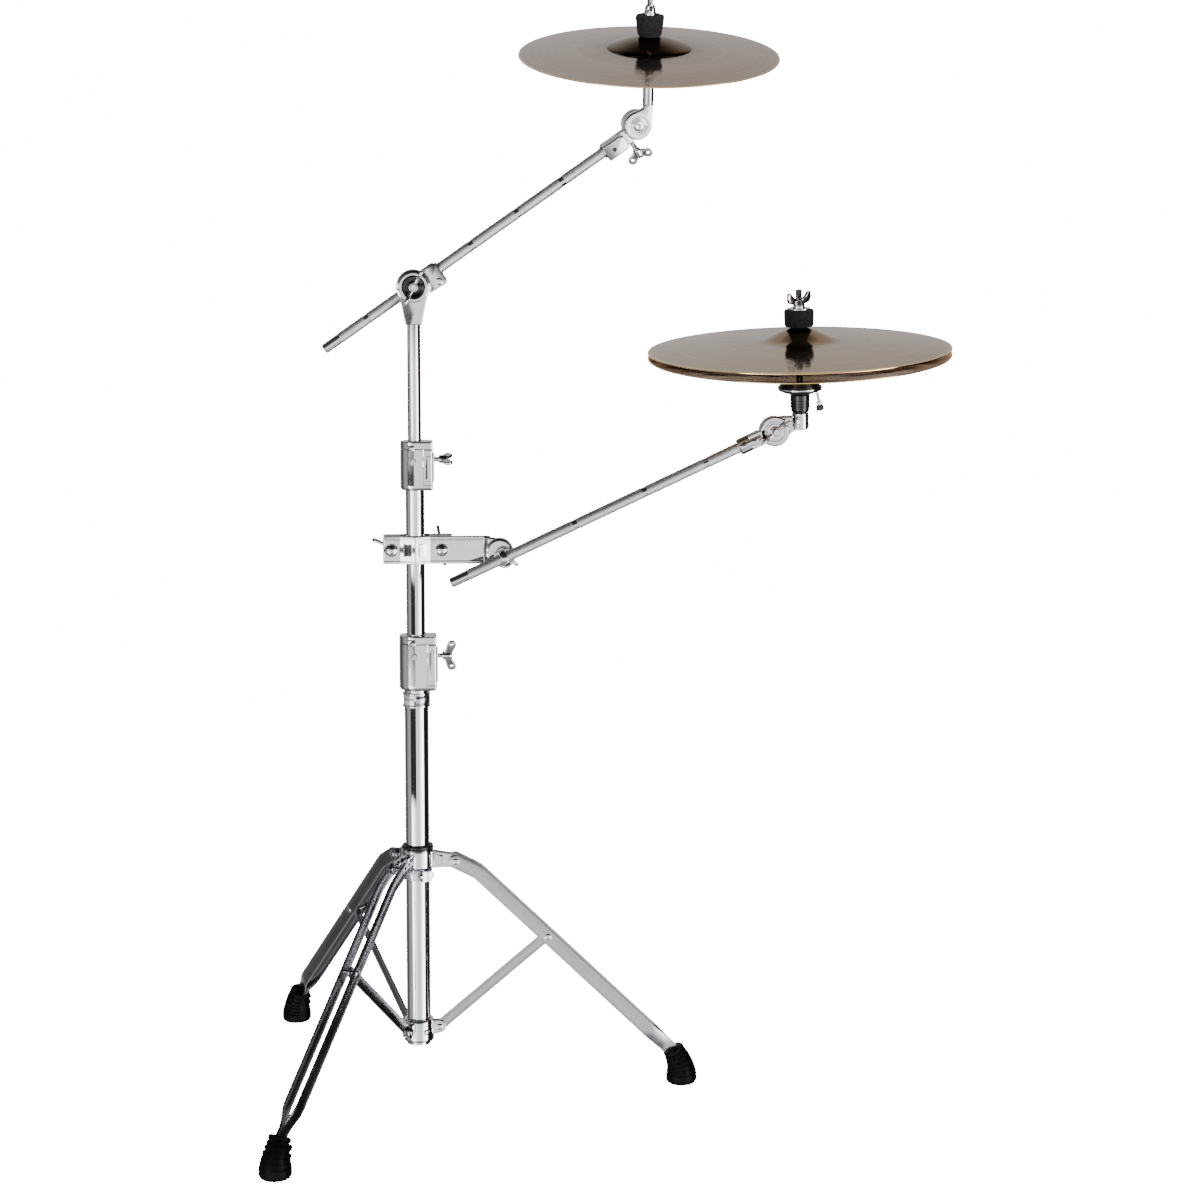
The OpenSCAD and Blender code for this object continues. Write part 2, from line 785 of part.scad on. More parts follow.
// Black sleeve and cup, with a bright ring round it and a soft top that the bottom cymbal rests on
module hat_seat() {
    color([0.08, 0.08, 0.08]) at_stack() difference() {
        union() {
            translate([0, 0, 21.4]) cylinder(d1 = 21, d2 = 23, h = 19.6);
            translate([0, 0, 41]) cylinder(d1 = 24, d2 = 50, h = 6);
            translate([0, 0, 47]) cylinder(d = 52, h = 5);
            translate([0, 0, 52]) cylinder(d1 = 49, d2 = 40, h = 9);
        }
        translate([0, 0, 20]) cylinder(d = 12 + 2 * fit, h = 50);
    }
}

module hat_seat_screw() {
    color([0.1, 0.1, 0.1]) at_stack() translate([20.5, 0, 43]) rotate([0, 170, 0]) {
        cylinder(d = 4, h = 18);
        translate([0, 0, 11]) cylinder(d = 7.6, h = 3);
        translate([0, 0, 15]) cylinder(d = 9, h = 7);
    }
}

// The bottom cymbal leans a little further forward, so the pair opens at the front
module bottom_hat() {
    color("darkkhaki") at_stack() translate([0, 0, hat_rim_z - 5.2]) rotate([hat_gape, 0, 0])
        mirror([0, 0, 1]) cymbal(hat_d, 11, 50, 15, 1.3, 15);
}

module top_hat() {
    color("darkkhaki") at_stack() translate([0, 0, hat_rim_z]) cymbal(hat_d, 11, 50, 15, 1.3, 14);
}

// Threaded stem through both cymbals
module hat_stem() {
    color("silver") at_stack() translate([0, 0, 54.4]) cylinder(d = stud_d, h = 111);
}

module hat_felt() {
    color([0.1, 0.1, 0.1]) at_stack() translate([0, 0, 122.2]) felt_ring(34, 35.6, 20, stud_d + 0.6);
}

module hat_nut() {
    color("silver") at_stack() translate([0, 0, 142.6]) rotate([0, 0, 35])
        wing_nut(15, 10, stud_d + 2 * fit, 38, 20, 4);
}

lower_tube();
base_bracket();
stop_ring();
badge_band();
lower_clamp();
lower_clamp_screws();
lower_jaw();
lower_wing_screw();
lower_bush();
collar();
collar_bush();
leg(1);  // leg_1
leg(2);  // leg_2
leg(3);  // leg_3
foot(1);  // foot_1
foot(2);  // foot_2
foot(3);  // foot_3
brace(1);  // brace_1
brace(2);  // brace_2
brace(3);  // brace_3
middle_tube();
upper_clamp();
upper_clamp_screws();
upper_jaw();
upper_wing_screw();
upper_bush();
upper_tube();
tilter_post();
tilter_bolt();
tilter_drum();
rod_clamp_bolt();
tilter_wing_nut();
boom_rod();
boom_socket();
boom_head();
boom_wing_screw();
boom_sleeve();
boom_lower_felt();
boom_cymbal();
boom_upper_felt();
boom_wing_nut();
clamp_arm();
clamp_plate();
clamp_bolts();
clamp_nut_1();
clamp_nut_2();
rod_saddle();
eye_bolt();
eye_nut();
hat_rod();
hat_socket();
hat_head();
hat_wing_nut();
hat_seat();
hat_seat_screw();
bottom_hat();
top_hat();
hat_stem();
hat_felt();
hat_nut();
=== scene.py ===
"""Looks of a double-braced boom stand that carries a boom cymbal and a closed pair of hi-hat cymbals.

The shapes are drawn in millimetres, each in the local frame of the joint that it belongs to, and
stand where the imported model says.
"""
import bpy
import bmesh
import json
import math
from mathutils import Matrix, Vector, noise


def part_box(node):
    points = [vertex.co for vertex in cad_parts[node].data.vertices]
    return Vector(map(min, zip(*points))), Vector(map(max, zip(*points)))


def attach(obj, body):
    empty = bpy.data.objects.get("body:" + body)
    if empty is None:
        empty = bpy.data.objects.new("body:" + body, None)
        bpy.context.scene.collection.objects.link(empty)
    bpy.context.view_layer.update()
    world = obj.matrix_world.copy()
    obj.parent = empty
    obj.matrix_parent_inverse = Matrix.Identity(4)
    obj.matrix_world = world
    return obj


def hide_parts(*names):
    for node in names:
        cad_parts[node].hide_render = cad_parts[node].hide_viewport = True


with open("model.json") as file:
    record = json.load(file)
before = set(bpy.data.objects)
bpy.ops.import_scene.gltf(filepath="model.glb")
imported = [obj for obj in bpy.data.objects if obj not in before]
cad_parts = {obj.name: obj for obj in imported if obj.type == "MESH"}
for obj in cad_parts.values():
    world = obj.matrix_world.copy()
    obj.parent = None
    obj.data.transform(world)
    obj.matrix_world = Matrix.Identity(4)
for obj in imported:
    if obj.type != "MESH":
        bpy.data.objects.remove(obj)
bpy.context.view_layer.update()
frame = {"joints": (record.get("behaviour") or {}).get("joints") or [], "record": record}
MM = 0.001
JOINTS = {j["name"]: j for j in frame["joints"]}
BODY_OF = {n: b for b, ns in frame["record"]["behaviour"]["bodies"].items() for n in ns}


# ---------- places ----------

def joint_place(name):
    return Vector(JOINTS[name]["pos_m"])


def joint_axis(name):
    return Vector(JOINTS[name]["axis"]).normalized()


def at_joint(name):
    return Matrix.Translation(joint_place(name))


def frame_of(origin, x, y):
    """A frame at origin, in metres, with these two axes."""
    x = x.normalized()
    y = (y - x * y.dot(x)).normalized()
    m = Matrix((x, y, x.cross(y))).transposed().to_4x4()
    m.translation = origin
    return m


def shift(x=0.0, y=0.0, z=0.0):
    return Matrix.Translation((x, y, z))


def turn(axis, degrees):
    return Matrix.Rotation(math.radians(degrees), 4, axis)


def local(place, x=0.0, y=0.0, z=0.0):
    """A frame moved by millimetres along its own axes."""
    return place @ shift(x * MM, y * MM, z * MM)


UP_Y = turn("X", -90)       # turns local Z to +Y
UP_X = turn("Y", 90)        # turns local Z to +X
DOWN_Y = turn("X", 90)      # turns local Z to -Y, and a drawing in x-y into one in x-z
Y_AXIS = Vector((0, 1, 0))
WORLD = Matrix()
ROD_BORE = 6.45             # radius of the holes that the knurled rods run in
BOLT_R = 4.0                # radius of the big threads
BOOM_R = 152.4              # radius of the boom cymbal
HAT_R = 177.8               # radius of the hi-hat cymbals
BELL_R = 50.0               # radius of every cymbal's bell
AT_BOOM = frame_of(joint_place("boom_tilt"), joint_axis("boom_slide"), Y_AXIS)
AT_SOCKET = frame_of(joint_place("boom_tilt"), joint_axis("boom_roll"), joint_axis("cymbal_tilt"))
HEAD_X = joint_axis("cymbal_tilt").cross(joint_axis("boom_cymbal_spin"))
AT_HEAD = frame_of(joint_place("cymbal_tilt"), HEAD_X, joint_axis("cymbal_tilt")) @ turn("Y", 2)
AT_POST = local(AT_HEAD, 13, -2) @ turn("Y", -2)
AT_HAT_ROD = frame_of(joint_place("hat_arm_swing"), joint_axis("hat_rod_slide"), Y_AXIS)
AT_HAT_TILTER = at_joint("hat_tilt")
STACK_X = joint_axis("bottom_cymbal_tilt").cross(joint_axis("top_cymbal_spin"))
HAT_RIM = 94.5              # the top hi-hat cymbal's rim plane, up the stack
AT_STACK = local(frame_of(joint_place("top_cymbal_spin"), STACK_X, joint_axis("bottom_cymbal_tilt")),
    z=-HAT_RIM)
AT_BOTTOM_HAT = local(AT_STACK, z=HAT_RIM - 5.2) @ turn("X", 1.3) @ Matrix.Diagonal((1, -1, -1, 1))
SEAT = 95.0                 # the boom cymbal's seat, up its post
TILT_Z = joint_place("boom_tilt").z / MM
LEG_TOP = Vector((joint_place("collar_pivot").x, joint_place("collar_pivot").z)) / MM
RIVET = Vector((joint_place("leg_1_pivot").x, joint_place("leg_1_pivot").z)) / MM
BASE_PIVOT = Vector((joint_place("leg_fold").x, joint_place("leg_fold").z)) / MM


def at_leg(k):
    return turn("Z", 120 * (k - 1))


# ---------- outlines ----------

def fillet(points, closed=True, steps=5):
    """Rounds the corners of an outline. A point's third number is its radius."""
    out = []
    count = len(points)
    for i, p in enumerate(points):
        here = Vector(p[:2])
        if len(p) < 3 or p[2] <= 0 or (not closed and i in (0, count - 1)):
            out.append((here.x, here.y))
            continue
        back = Vector(points[i - 1][:2]) - here
        ahead = Vector(points[(i + 1) % count][:2]) - here
        half = back.angle(ahead) / 2
        if half > math.radians(89):
            out.append((here.x, here.y))
            continue
        reach = min(p[2] / math.tan(half), back.length * 0.49, ahead.length * 0.49)
        radius = reach * math.tan(half)
        centre = here + (back.normalized() + ahead.normalized()).normalized() * radius / math.sin(half)
        first = here + back.normalized() * reach - centre
        last = here + ahead.normalized() * reach - centre
        start = math.atan2(first.y, first.x)
        sweep_angle = (math.atan2(last.y, last.x) - start + math.pi) % (2 * math.pi) - math.pi
        for k in range(steps + 1):
            a = start + sweep_angle * k / steps
            out.append((centre.x + radius * math.cos(a), centre.y + radius * math.sin(a)))
    return out


def circle(r, x=0.0, y=0.0, n=40):
    angles = [2 * math.pi * k / n for k in range(n)]
    return [(x + r * math.cos(a), y + r * math.sin(a)) for a in angles]


def arc(r, a0, a1, n, x=0.0, y=0.0):
    angles = [math.radians(a0 + (a1 - a0) * k / n) for k in range(n + 1)]
    return [(x + r * math.cos(a), y + r * math.sin(a)) for a in angles]


def box_outline(x0, x1, y0, y1, r=0.0):
    return [(x0, y0, r), (x1, y0, r), (x1, y1, r), (x0, y1, r)]


def bar_outline(a, b, w0, w1=None, square_start=False):
    """A bar from a to b with a round end at b, and at a too unless square_start. Widths may differ."""
    w1 = w0 if w1 is None else w1
    a, b = Vector(a), Vector(b)
    heading = math.degrees(math.atan2((b - a).y, (b - a).x))
    side = Vector((-(b - a).y, (b - a).x)).normalized()
    end = arc(w1 / 2, heading - 90, heading + 90, 14, b.x, b.y)
    if square_start:
        start = [tuple(a + side * w0 / 2), tuple(a - side * w0 / 2)]
    else:
        start = arc(w0 / 2, heading + 90, heading + 270, 14, a.x, a.y)
    return end + start


# ---------- solids ----------

def new_object(name, data):
    """An object with this data, in the scene."""
    thing = bpy.data.objects.new(name, data)
    bpy.context.scene.collection.objects.link(thing)
    return thing


class Solid:
    """Closed shells in millimetres in one local frame, that become one object."""

    def __init__(self):
        self.bm = bmesh.new()

    def add(self, verts, faces, at=None, mat=0, flat=False):
        at = at or Matrix()
        new = [self.bm.verts.new(at @ Vector(v)) for v in verts]
        for f in faces:
            corners = [new[i] for i in f]
            if len(set(corners)) < 3:
                continue
            face = self.bm.faces.new(corners)
            face.material_index = mat
            face.smooth = not flat
        bmesh.ops.remove_doubles(self.bm, verts=new, dist=0.0005)

    def lathe(self, profile, at=None, n=64, ring=False, mat=0, flat=False):
        """Turns (radius, height) points about Z. A ring's profile is a closed loop."""
        profile = fillet(profile, closed=ring)
        verts = []
        rows = []
        for r, z in profile:
            if r < 1e-6:
                rows.append([len(verts)] * n)
                verts.append((0, 0, z))
            else:
                rows.append(list(range(len(verts), len(verts) + n)))
                verts += [(x, y, z) for x, y in circle(r, n=n)]
        faces = []
        ends = rows[1:] + (rows[:1] if ring else [])
        for a, b in zip(rows, ends):
            for k in range(n):
                m = (k + 1) % n
                loop = [a[k], a[m], b[m], b[k]]
                loop = [v for i, v in enumerate(loop) if v != loop[i - 1]]
                if len(loop) > 2:
                    faces.append(loop)
        self.add(verts, faces, at, mat, flat)

    def ring(self, profile, at=None, n=64, mat=0):
        """Turns a closed outline about Z."""
        self.lathe(profile, at, n, ring=True, mat=mat)

    def rod(self, r, z0, z1, at=None, edge=0.4, n=40, mat=0):
        self.lathe([(0, z0), (r, z0, edge), (r, z1, edge), (0, z1)], at, n, mat=mat)

    def tube(self, r0, r1, z0, z1, at=None, edge=0.3, n=72, mat=0, rim=None):
        """A ring with inner radius r0 and outer radius r1. rim rounds its outer edges, if they differ."""
        rim = rim or edge
        self.ring([(r0, z0, edge), (r1, z0, rim), (r1, z1, rim), (r0, z1, edge)], at, n, mat)

    def plate(self, loops, thick, at=None, bevel=0.4, mat=0):
        """A flat plate about z = 0 with rounded corners and edges. Loops after the first are holes."""
        curve = bpy.data.curves.new("drawing", "CURVE")
        curve.dimensions = "2D"
        curve.fill_mode = "BOTH"
        curve.extrude = thick / 2 - bevel
        curve.bevel_depth = bevel
        curve.bevel_resolution = 2
        curve.offset = -bevel
        for loop in map(fillet, loops):
            spline = curve.splines.new("POLY")
            spline.points.add(len(loop) - 1)
            for point, (x, y) in zip(spline.points, loop):
                point.co = (x, y, 0, 1)
            spline.use_cyclic_u = True
        thing = new_object("drawing", curve)
        seen = thing.evaluated_get(bpy.context.evaluated_depsgraph_get())
        mesh = bpy.data.meshes.new_from_object(seen)
        self.add([v.co[:] for v in mesh.vertices], [p.vertices[:] for p in mesh.polygons], at, mat)
        bpy.data.objects.remove(thing)
        bpy.data.curves.remove(curve)
        bpy.data.meshes.remove(mesh)

    def plate_xz(self, loops, thick, mid=0.0, at=None, bevel=0.4, mat=0):
        self.plate(loops, thick, (at or Matrix()) @ shift(0, mid, 0) @ DOWN_Y, bevel, mat)

    def block(self, lo, hi, at=None, corner=1.0, bevel=0.6, mat=0):
        """A box with rounded upright corners and bevelled edges."""
        middle = (lo[2] + hi[2]) / 2
        place = (at or Matrix()) @ shift(0, 0, middle)
        self.plate([box_outline(lo[0], hi[0], lo[1], hi[1], corner)], hi[2] - lo[2], place, bevel, mat)

    def loft(self, rows, at=None, mat=0, flat=False):
        """Joins closed rows of points that all have the same count, with a cap at each end."""
        n = len(rows[0])
        verts = [p for row in rows for p in row]
        faces = []
        for i in range(len(rows) - 1):
            for k in range(n):
                m = (k + 1) % n
                faces.append((i * n + k, i * n + m, (i + 1) * n + m, (i + 1) * n + k))
        faces.append(tuple(range(n)))
        faces.append(tuple(range((len(rows) - 1) * n, len(rows) * n)))
        self.add(verts, faces, at, mat, flat)

    def object(self, name, place, mats, sharp=38):
        bmesh.ops.recalc_face_normals(self.bm, faces=self.bm.faces)
        bmesh.ops.scale(self.bm, vec=(MM, MM, MM), verts=self.bm.verts)
        mesh = bpy.data.meshes.new(name)
        self.bm.to_mesh(mesh)
        self.bm.free()
        mesh.set_sharp_from_angle(angle=math.radians(sharp))
        for m in mats:
            mesh.materials.append(m)
        thing = new_object(name, mesh)
        thing.matrix_world = place
        return thing


def piece(solid, node, place, *mats, sharp=38):
    """Makes the object that stands for a CAD node, on the node's own body."""
    thing = solid.object(node + "_piece", place, mats, sharp)
    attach(thing, BODY_OF[node])
    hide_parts(node)
    return thing


# ---------- materials ----------

class Nodes:
    """A small helper round one node tree."""

    def __init__(self, tree):
        self.tree = tree

    def node(self, kind, **values):
        made = self.tree.nodes.new(kind)
        for key, value in values.items():
            setattr(made, key, value)
        return made

    def link(self, a, b):
        self.tree.links.new(a, b)

    def put(self, value, socket):
        """Links another socket to this one, or sets its number or colour."""
        if isinstance(value, bpy.types.NodeSocket):
            self.link(value, socket)
        else:
            socket.default_value = value

    def part(self, kind, output, inputs):
        """Adds a node, sets or links the inputs, and gives one of its outputs."""
        made = self.node(kind)
        for name, value in inputs.items():
            self.put(value, made.inputs[name])
        return made.outputs[output]

    def math(self, operation, *values):
        made = self.node("ShaderNodeMath", operation=operation)
        for socket, value in zip(made.inputs, values):
            self.put(value, socket)
        return made.outputs[0]

    def mix(self, a, b, factor=1.0, blend="MIX"):
        made = self.node("ShaderNodeMix", data_type="RGBA", blend_type=blend)
        for key, value in (("Factor", factor), ("A", a), ("B", b)):
            self.put(value, made.inputs[key])
        return made.outputs["Result"]

    def ramp(self, value, stops):
        """A colour ramp, whose stops are (position, colour or grey)."""
        made = self.node("ShaderNodeValToRGB")
        elements = made.color_ramp.elements
        while len(elements) < len(stops):
            elements.new(0.5)
        for element, (position, color) in zip(elements, stops):
            element.position = position
            element.color = (*(color if isinstance(color, tuple) else (color,) * 3), 1)
        self.link(value, made.inputs["Fac"])
        return made.outputs["Color"]


class Shader(Nodes):
    """One material's node tree."""

    def __init__(self, name, color, metallic, roughness):
        self.mat = bpy.data.materials.new(name)
        self.mat.use_nodes = True
        super().__init__(self.mat.node_tree)
        self.bsdf = self.tree.nodes["Principled BSDF"]
        self.set("Base Color", (*color, 1))
        self.set("Metallic", metallic)
        self.set("Roughness", roughness)
        self.space = self.node("ShaderNodeTexCoord").outputs["Object"]

    def set(self, name, value):
        """Sets or links one input of the surface."""
        self.put(value, self.bsdf.inputs[name])

    def noise(self, scale, detail=3.0, vector=None, roughness=0.5):
        inputs = {"Scale": scale, "Detail": detail, "Roughness": roughness}
        inputs["Vector"] = vector or self.space
        return self.part("ShaderNodeTexNoise", "Fac", inputs)

    def stretched(self, x, y, z):
        return self.part("ShaderNodeMapping", "Vector", {"Scale": (x, y, z), "Vector": self.space})

    def remap(self, *ranges):
        """Maps a value from one range to another: value, from, from, to, to."""
        names = ("Value", "From Min", "From Max", "To Min", "To Max")
        return self.part("ShaderNodeMapRange", "Result", dict(zip(names, ranges)))

    def bump(self, height, strength, distance):
        """Adds a bump on top of those that the surface has already."""
        inputs = {"Strength": strength, "Distance": distance, "Height": height}
        old = self.bsdf.inputs["Normal"]
        if old.is_linked:
            inputs["Normal"] = old.links[0].from_socket
        self.set("Normal", self.part("ShaderNodeBump", "Normal", inputs))


def finish(name, color, metallic, tint, dull, *bumps):
    """A surface with clouded colour and gloss and with fine bumps.

    tint is (noise, stops), dull is (noise, low, high, roughness at low, roughness at high), and a bump
    is (noise, strength, distance). A noise is (scale, detail).
    """
    s = Shader(name, color, metallic, dull[3])
    s.set("Base Color", s.ramp(s.noise(*tint[0]), tint[1]))
    s.set("Roughness", s.remap(s.noise(*dull[0]), *dull[1:]))
    for field, strength, distance in bumps:
        s.bump(s.noise(*field), strength, distance)
    return s


def chrome(name, color, low, high, wave, grain=0.0):
    """Plated metal: a slight waviness of the plate, and dull patches where it has been handled."""
    tint = (9.0, 2.0), [(0.3, tuple(c * 0.93 for c in color)), (0.7, color)]
    bumps = [((30.0, 1.0), wave, 0.0003)]
    if grain:
        bumps.append(((900.0, 2.0), grain, 0.00003))
    return finish(name, color, 1.0, tint, ((38.0, 4.0), 0.35, 0.75, low, high), *bumps).mat


def brushed_strip():
    """Rolled steel strip under satin chrome, with fine rolling lines."""
    s = Shader("satin_chrome_strip", (0.46, 0.47, 0.50), 1.0, 0.22)
    lines = s.noise(6.0, 4.0, s.stretched(60, 900, 60))
    s.set("Roughness", s.remap(s.noise(25.0, 4.0), 0.3, 0.7, 0.16, 0.30))
    s.set("Base Color", s.ramp(lines, [(0.3, (0.42, 0.43, 0.46)), (0.7, (0.52, 0.53, 0.56))]))
    s.bump(lines, 0.10, 0.0001)
    return s.mat


def zinc():
    blotches = [(0.3, (0.50, 0.55, 0.62)), (0.55, (0.66, 0.70, 0.74)), (0.8, (0.72, 0.70, 0.66))]
    return finish("bright_zinc", (0.60, 0.65, 0.70), 1.0, ((120.0, 5.0), blotches),
        ((120.0, 5.0), 0.3, 0.7, 0.18, 0.36), ((700.0, 3.0), 0.15, 0.0001)).mat


def knurled():
    shades = [(0.3, (0.80, 0.81, 0.83)), (0.7, (0.93, 0.94, 0.96))]
    return finish("knurled_steel", (0.80, 0.81, 0.83), 1.0, ((60.0, 3.0), shades),
        ((500.0, 2.0), 0.3, 0.7, 0.42, 0.58), ((2500.0, 2.0), 0.1, 0.00005)).mat


def bronze(name, rim_r, main, bell, edge, low, high):
    """Cymbal bronze: lathe lines round the middle, soft hammer marks, a bell painted darker as painted
    reflection, and an edge painted brighter as a painted highlight.
    """
    s = Shader(name, main, 1.0, low)
    parts = s.node("ShaderNodeSeparateXYZ")
    s.link(s.space, parts.inputs[0])
    x, y = parts.outputs["X"], parts.outputs["Y"]
    radius = s.math("SQRT", s.math("ADD", s.math("MULTIPLY", x, x), s.math("MULTIPLY", y, y)))
    around = s.node("ShaderNodeCombineXYZ")
    s.link(radius, around.inputs[0])
    lines = s.noise(1400.0, 3.0, around.outputs[0], 0.7)
    bands = s.noise(130.0, 2.0, around.outputs[0])
    share = s.math("MULTIPLY", radius, 1000.0 / rim_r)
    inner = tuple((m + b) / 2 for m, b in zip(main, bell))
    # The bell colour is painted dark reflection and the edge colour a painted highlight; main is the
    # bronze's own colour.
    zones_with_painted_light = s.ramp(share, [(0.0, bell), (BELL_R * 0.93 / rim_r, bell), (BELL_R * 1.04 / rim_r, inner),
        (0.55, main), (0.975, main), (0.992, edge)])
    shades = s.ramp(bands, [(0.3, (0.80, 0.78, 0.76)), (0.7, 1.0)])
    s.set("Base Color", s.mix(zones_with_painted_light, shades, 1.0, "MULTIPLY"))
    s.set("Roughness", s.remap(s.noise(30.0, 4.0), 0.3, 0.7, low, high))
    s.bump(s.noise(42.0, 1.0), 0.10, 0.0010)
    s.bump(lines, 0.14, 0.00008)
    return s.mat


def rubber():
    shades = [(0.3, (0.002, 0.002, 0.003)), (0.75, (0.006, 0.006, 0.008))]
    s = finish("black_rubber", (0.010, 0.010, 0.012), 0.0, ((70.0, 5.0), shades),
        ((140.0, 4.0), 0.3, 0.7, 0.42, 0.65), ((1600.0, 3.0), 0.35, 0.0002))
    s.set("Specular IOR Level", 0.15)
    return s.mat


def plastic(name, color, low, high):
    shades = [(0.3, tuple(c * 0.8 for c in color)), (0.7, tuple(c * 1.3 for c in color))]
    return finish(name, color, 0.0, ((40.0, 3.0), shades), ((200.0, 3.0), 0.3, 0.7, low, high),
        ((1300.0, 2.0), 0.12, 0.0001)).mat


def felt():
    """Pressed wool: long tangled fibres over soft mottling."""
    s = Shader("wool_felt", (0.03, 0.03, 0.034), 0.0, 0.95)
    fibres = s.noise(1.0, 6.0, s.stretched(420, 420, 1500), 0.7)
    mottle = s.noise(260.0, 4.0)
    both = s.math("ADD", s.math("MULTIPLY", fibres, 0.6), s.math("MULTIPLY", mottle, 0.4))
    shades = [(0.35, (0.003, 0.003, 0.004)), (0.5, (0.009, 0.009, 0.010)), (0.68, (0.030, 0.030, 0.033))]
    s.set("Base Color", s.ramp(both, shades))
    s.bump(fibres, 0.7, 0.0007)
    s.bump(s.noise(3200.0, 3.0), 0.5, 0.0003)
    s.set("Sheen Weight", 0.05)
    s.set("Sheen Roughness", 0.5)
    return s.mat


CHROME_TUBE = chrome("mirror_chrome", (0.80, 0.81, 0.83), 0.02, 0.05, 0.03)
CHROME_CAST = chrome("chrome_on_casting", (0.76, 0.77, 0.80), 0.07, 0.14, 0.16, 0.05)
# Chrome painted near black for the tilter's dish: painted shade and painted dark reflection in the hollow.
DISH_CHROME_PAINTED_SHADE = chrome("chrome_dish_painted_shade", (0.05, 0.05, 0.055), 0.10, 0.20, 0.10, 0.05)
CHROME_PART = chrome("chrome_on_hardware", (0.78, 0.79, 0.81), 0.04, 0.09, 0.12, 0.05)
STRIP = brushed_strip()
ZINC = zinc()
KNURL = knurled()
RUBBER = rubber()
NYLON = plastic("black_nylon", (0.004, 0.004, 0.005), 0.3, 0.45)
BLACK = plastic("black_plastic", (0.004, 0.004, 0.005), 0.14, 0.28)
FELT = felt()
BADGE = chrome("badge_metal", (0.55, 0.56, 0.58), 0.15, 0.30, 0.2)
# The bell colours are painted dark reflection and the edge colours painted highlight.
BRONZE_BOOM = bronze("cymbal_bronze_boom", BOOM_R, (0.42, 0.33, 0.265), (0.13, 0.08, 0.045),
    (0.95, 0.66, 0.34), 0.08, 0.15)
BRONZE_HAT = bronze("cymbal_bronze_hat", HAT_R, (0.46, 0.33, 0.22), (0.34, 0.23, 0.14),
    (0.98, 0.66, 0.30), 0.06, 0.12)


# ---------- shared hardware ----------

def dome(solid, r, height, at, base=0.6, mat=0):
    """A domed rivet or bolt head, standing on z = 0."""
    angles = [math.radians(a) for a in range(0, 90, 15)]
    top = [(r * math.cos(a), base + (height - base) * math.sin(a)) for a in angles]
    solid.lathe([(0, 0), (r, 0)] + top + [(0, height)], at, 32, mat=mat)


def threaded(solid, r, z0, z1, at=None, pitch=1.25, n=24, mat=0):
    """A rod with ridges at a thread's pitch."""
    profile = [(0, z0), (r - 0.5, z0)]
    z = z0
    while z < z1 - pitch:
        profile += [(r - 0.45, z + 0.05), (r, z + pitch * 0.5)]
        z += pitch
    profile += [(r - 0.5, z1), (0, z1)]
    solid.lathe(profile, at, n, mat=mat)


def wing_nut(solid, at, hub_d, hub_h, span, height, thick, mat=0):
    """Two broad upswept wings on a hub, along local Z."""
    solid.lathe([(0, 0), (hub_d / 2, 0, 0.6), (hub_d * 0.42, hub_h * 0.6, 1.0), (hub_d * 0.36, hub_h, 0.8),
        (4.3, hub_h, 0.3), (4.3, hub_h - 0.8), (0, hub_h - 0.8)], at, 40, mat=mat)
    w, h = span / 2, height
    for side in (-1, 1):
        wing = [(0.05 * w, 0.16 * h, 0), (0.45 * w, 0.22 * h, 2), (0.86 * w, 0.34 * h, 2.5),
            (w, 0.62 * h, 2.5), (0.93 * w, h, 2), (0.68 * w, 0.97 * h, 2), (0.44 * w, 0.68 * h, 3),
            (0.05 * w, 0.55 * h, 0)]
        outline = [(side * x, z, r) for x, z, r in wing]
        solid.plate_xz([outline], thick, 0, at, min(1.4, thick * 0.4), mat)


def wing_screw(solid, at, shank, span, lobe=11, mat=0):
    """A hub with two round wings, each with a dimple, along local Z."""
    threaded(solid, 3.0, -shank, 1, at, 1.0, mat=mat)
    hub = [(0, 0), (4.2, 0, 0.4), (5, 1.5, 0.5), (5, 9, 1.5), (3.6, 12, 1.0), (0, 12)]
    solid.lathe(hub, at, 40, mat=mat)
    for side in (-1, 1):
        end = (side * (span / 2 - lobe / 2), 11)
        outline = bar_outline((side * 2.5, 6), end, 8.2, lobe)
        solid.plate_xz([outline, circle(2.2, end[0], end[1], 20)], 4, 0, at, 1.3, mat)
        for face in (-1, 1):
            place = at @ shift(end[0], face * 1.6, end[1]) @ UP_Y
            solid.tube(2.1, 3.3, -0.4, 0.4, place, 0.2, 24, mat, rim=0.3)


def screw_piece(node, place, shank, span):
    screw = Solid()
    wing_screw(screw, Matrix(), shank, span)
    piece(screw, node, place, CHROME_PART)


def nut_piece(node, place, *sizes):
    nut = Solid()
    wing_nut(nut, Matrix(), *sizes)
    piece(nut, node, place, CHROME_PART)


def knurl(solid, r, x0, x1, at, mat=0, pitch=1.25, depth=0.26, n=64):
    """Diamond knurl between x0 and x1 on a rod along local Z, made of small pyramids."""
    steps = max(2, int(round((x1 - x0) / (pitch / 2))))
    rows = []
    for i in range(steps + 1):
        z = x0 + (x1 - x0) * i / steps
        row = []
        for k in range(n):
            a = 2 * math.pi * k / n
            rr = r - (0 if (i + k) % 2 == 0 else depth)
            row.append((rr * math.cos(a), rr * math.sin(a), z))
        rows.append(row)
    solid.loft(rows, at, mat, flat=True)


# ---------- main tube, base and tripod ----------

def make_tubes():
    for node, r in (("lower_tube", 14.3), ("middle_tube", 11.1), ("upper_tube", 7.95)):
        lo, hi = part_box(node)
        s = Solid()
        s.tube(r - 1.5, r, lo.z / MM, hi.z / MM, edge=0.4, n=96)
        piece(s, node, WORLD, CHROME_TUBE)


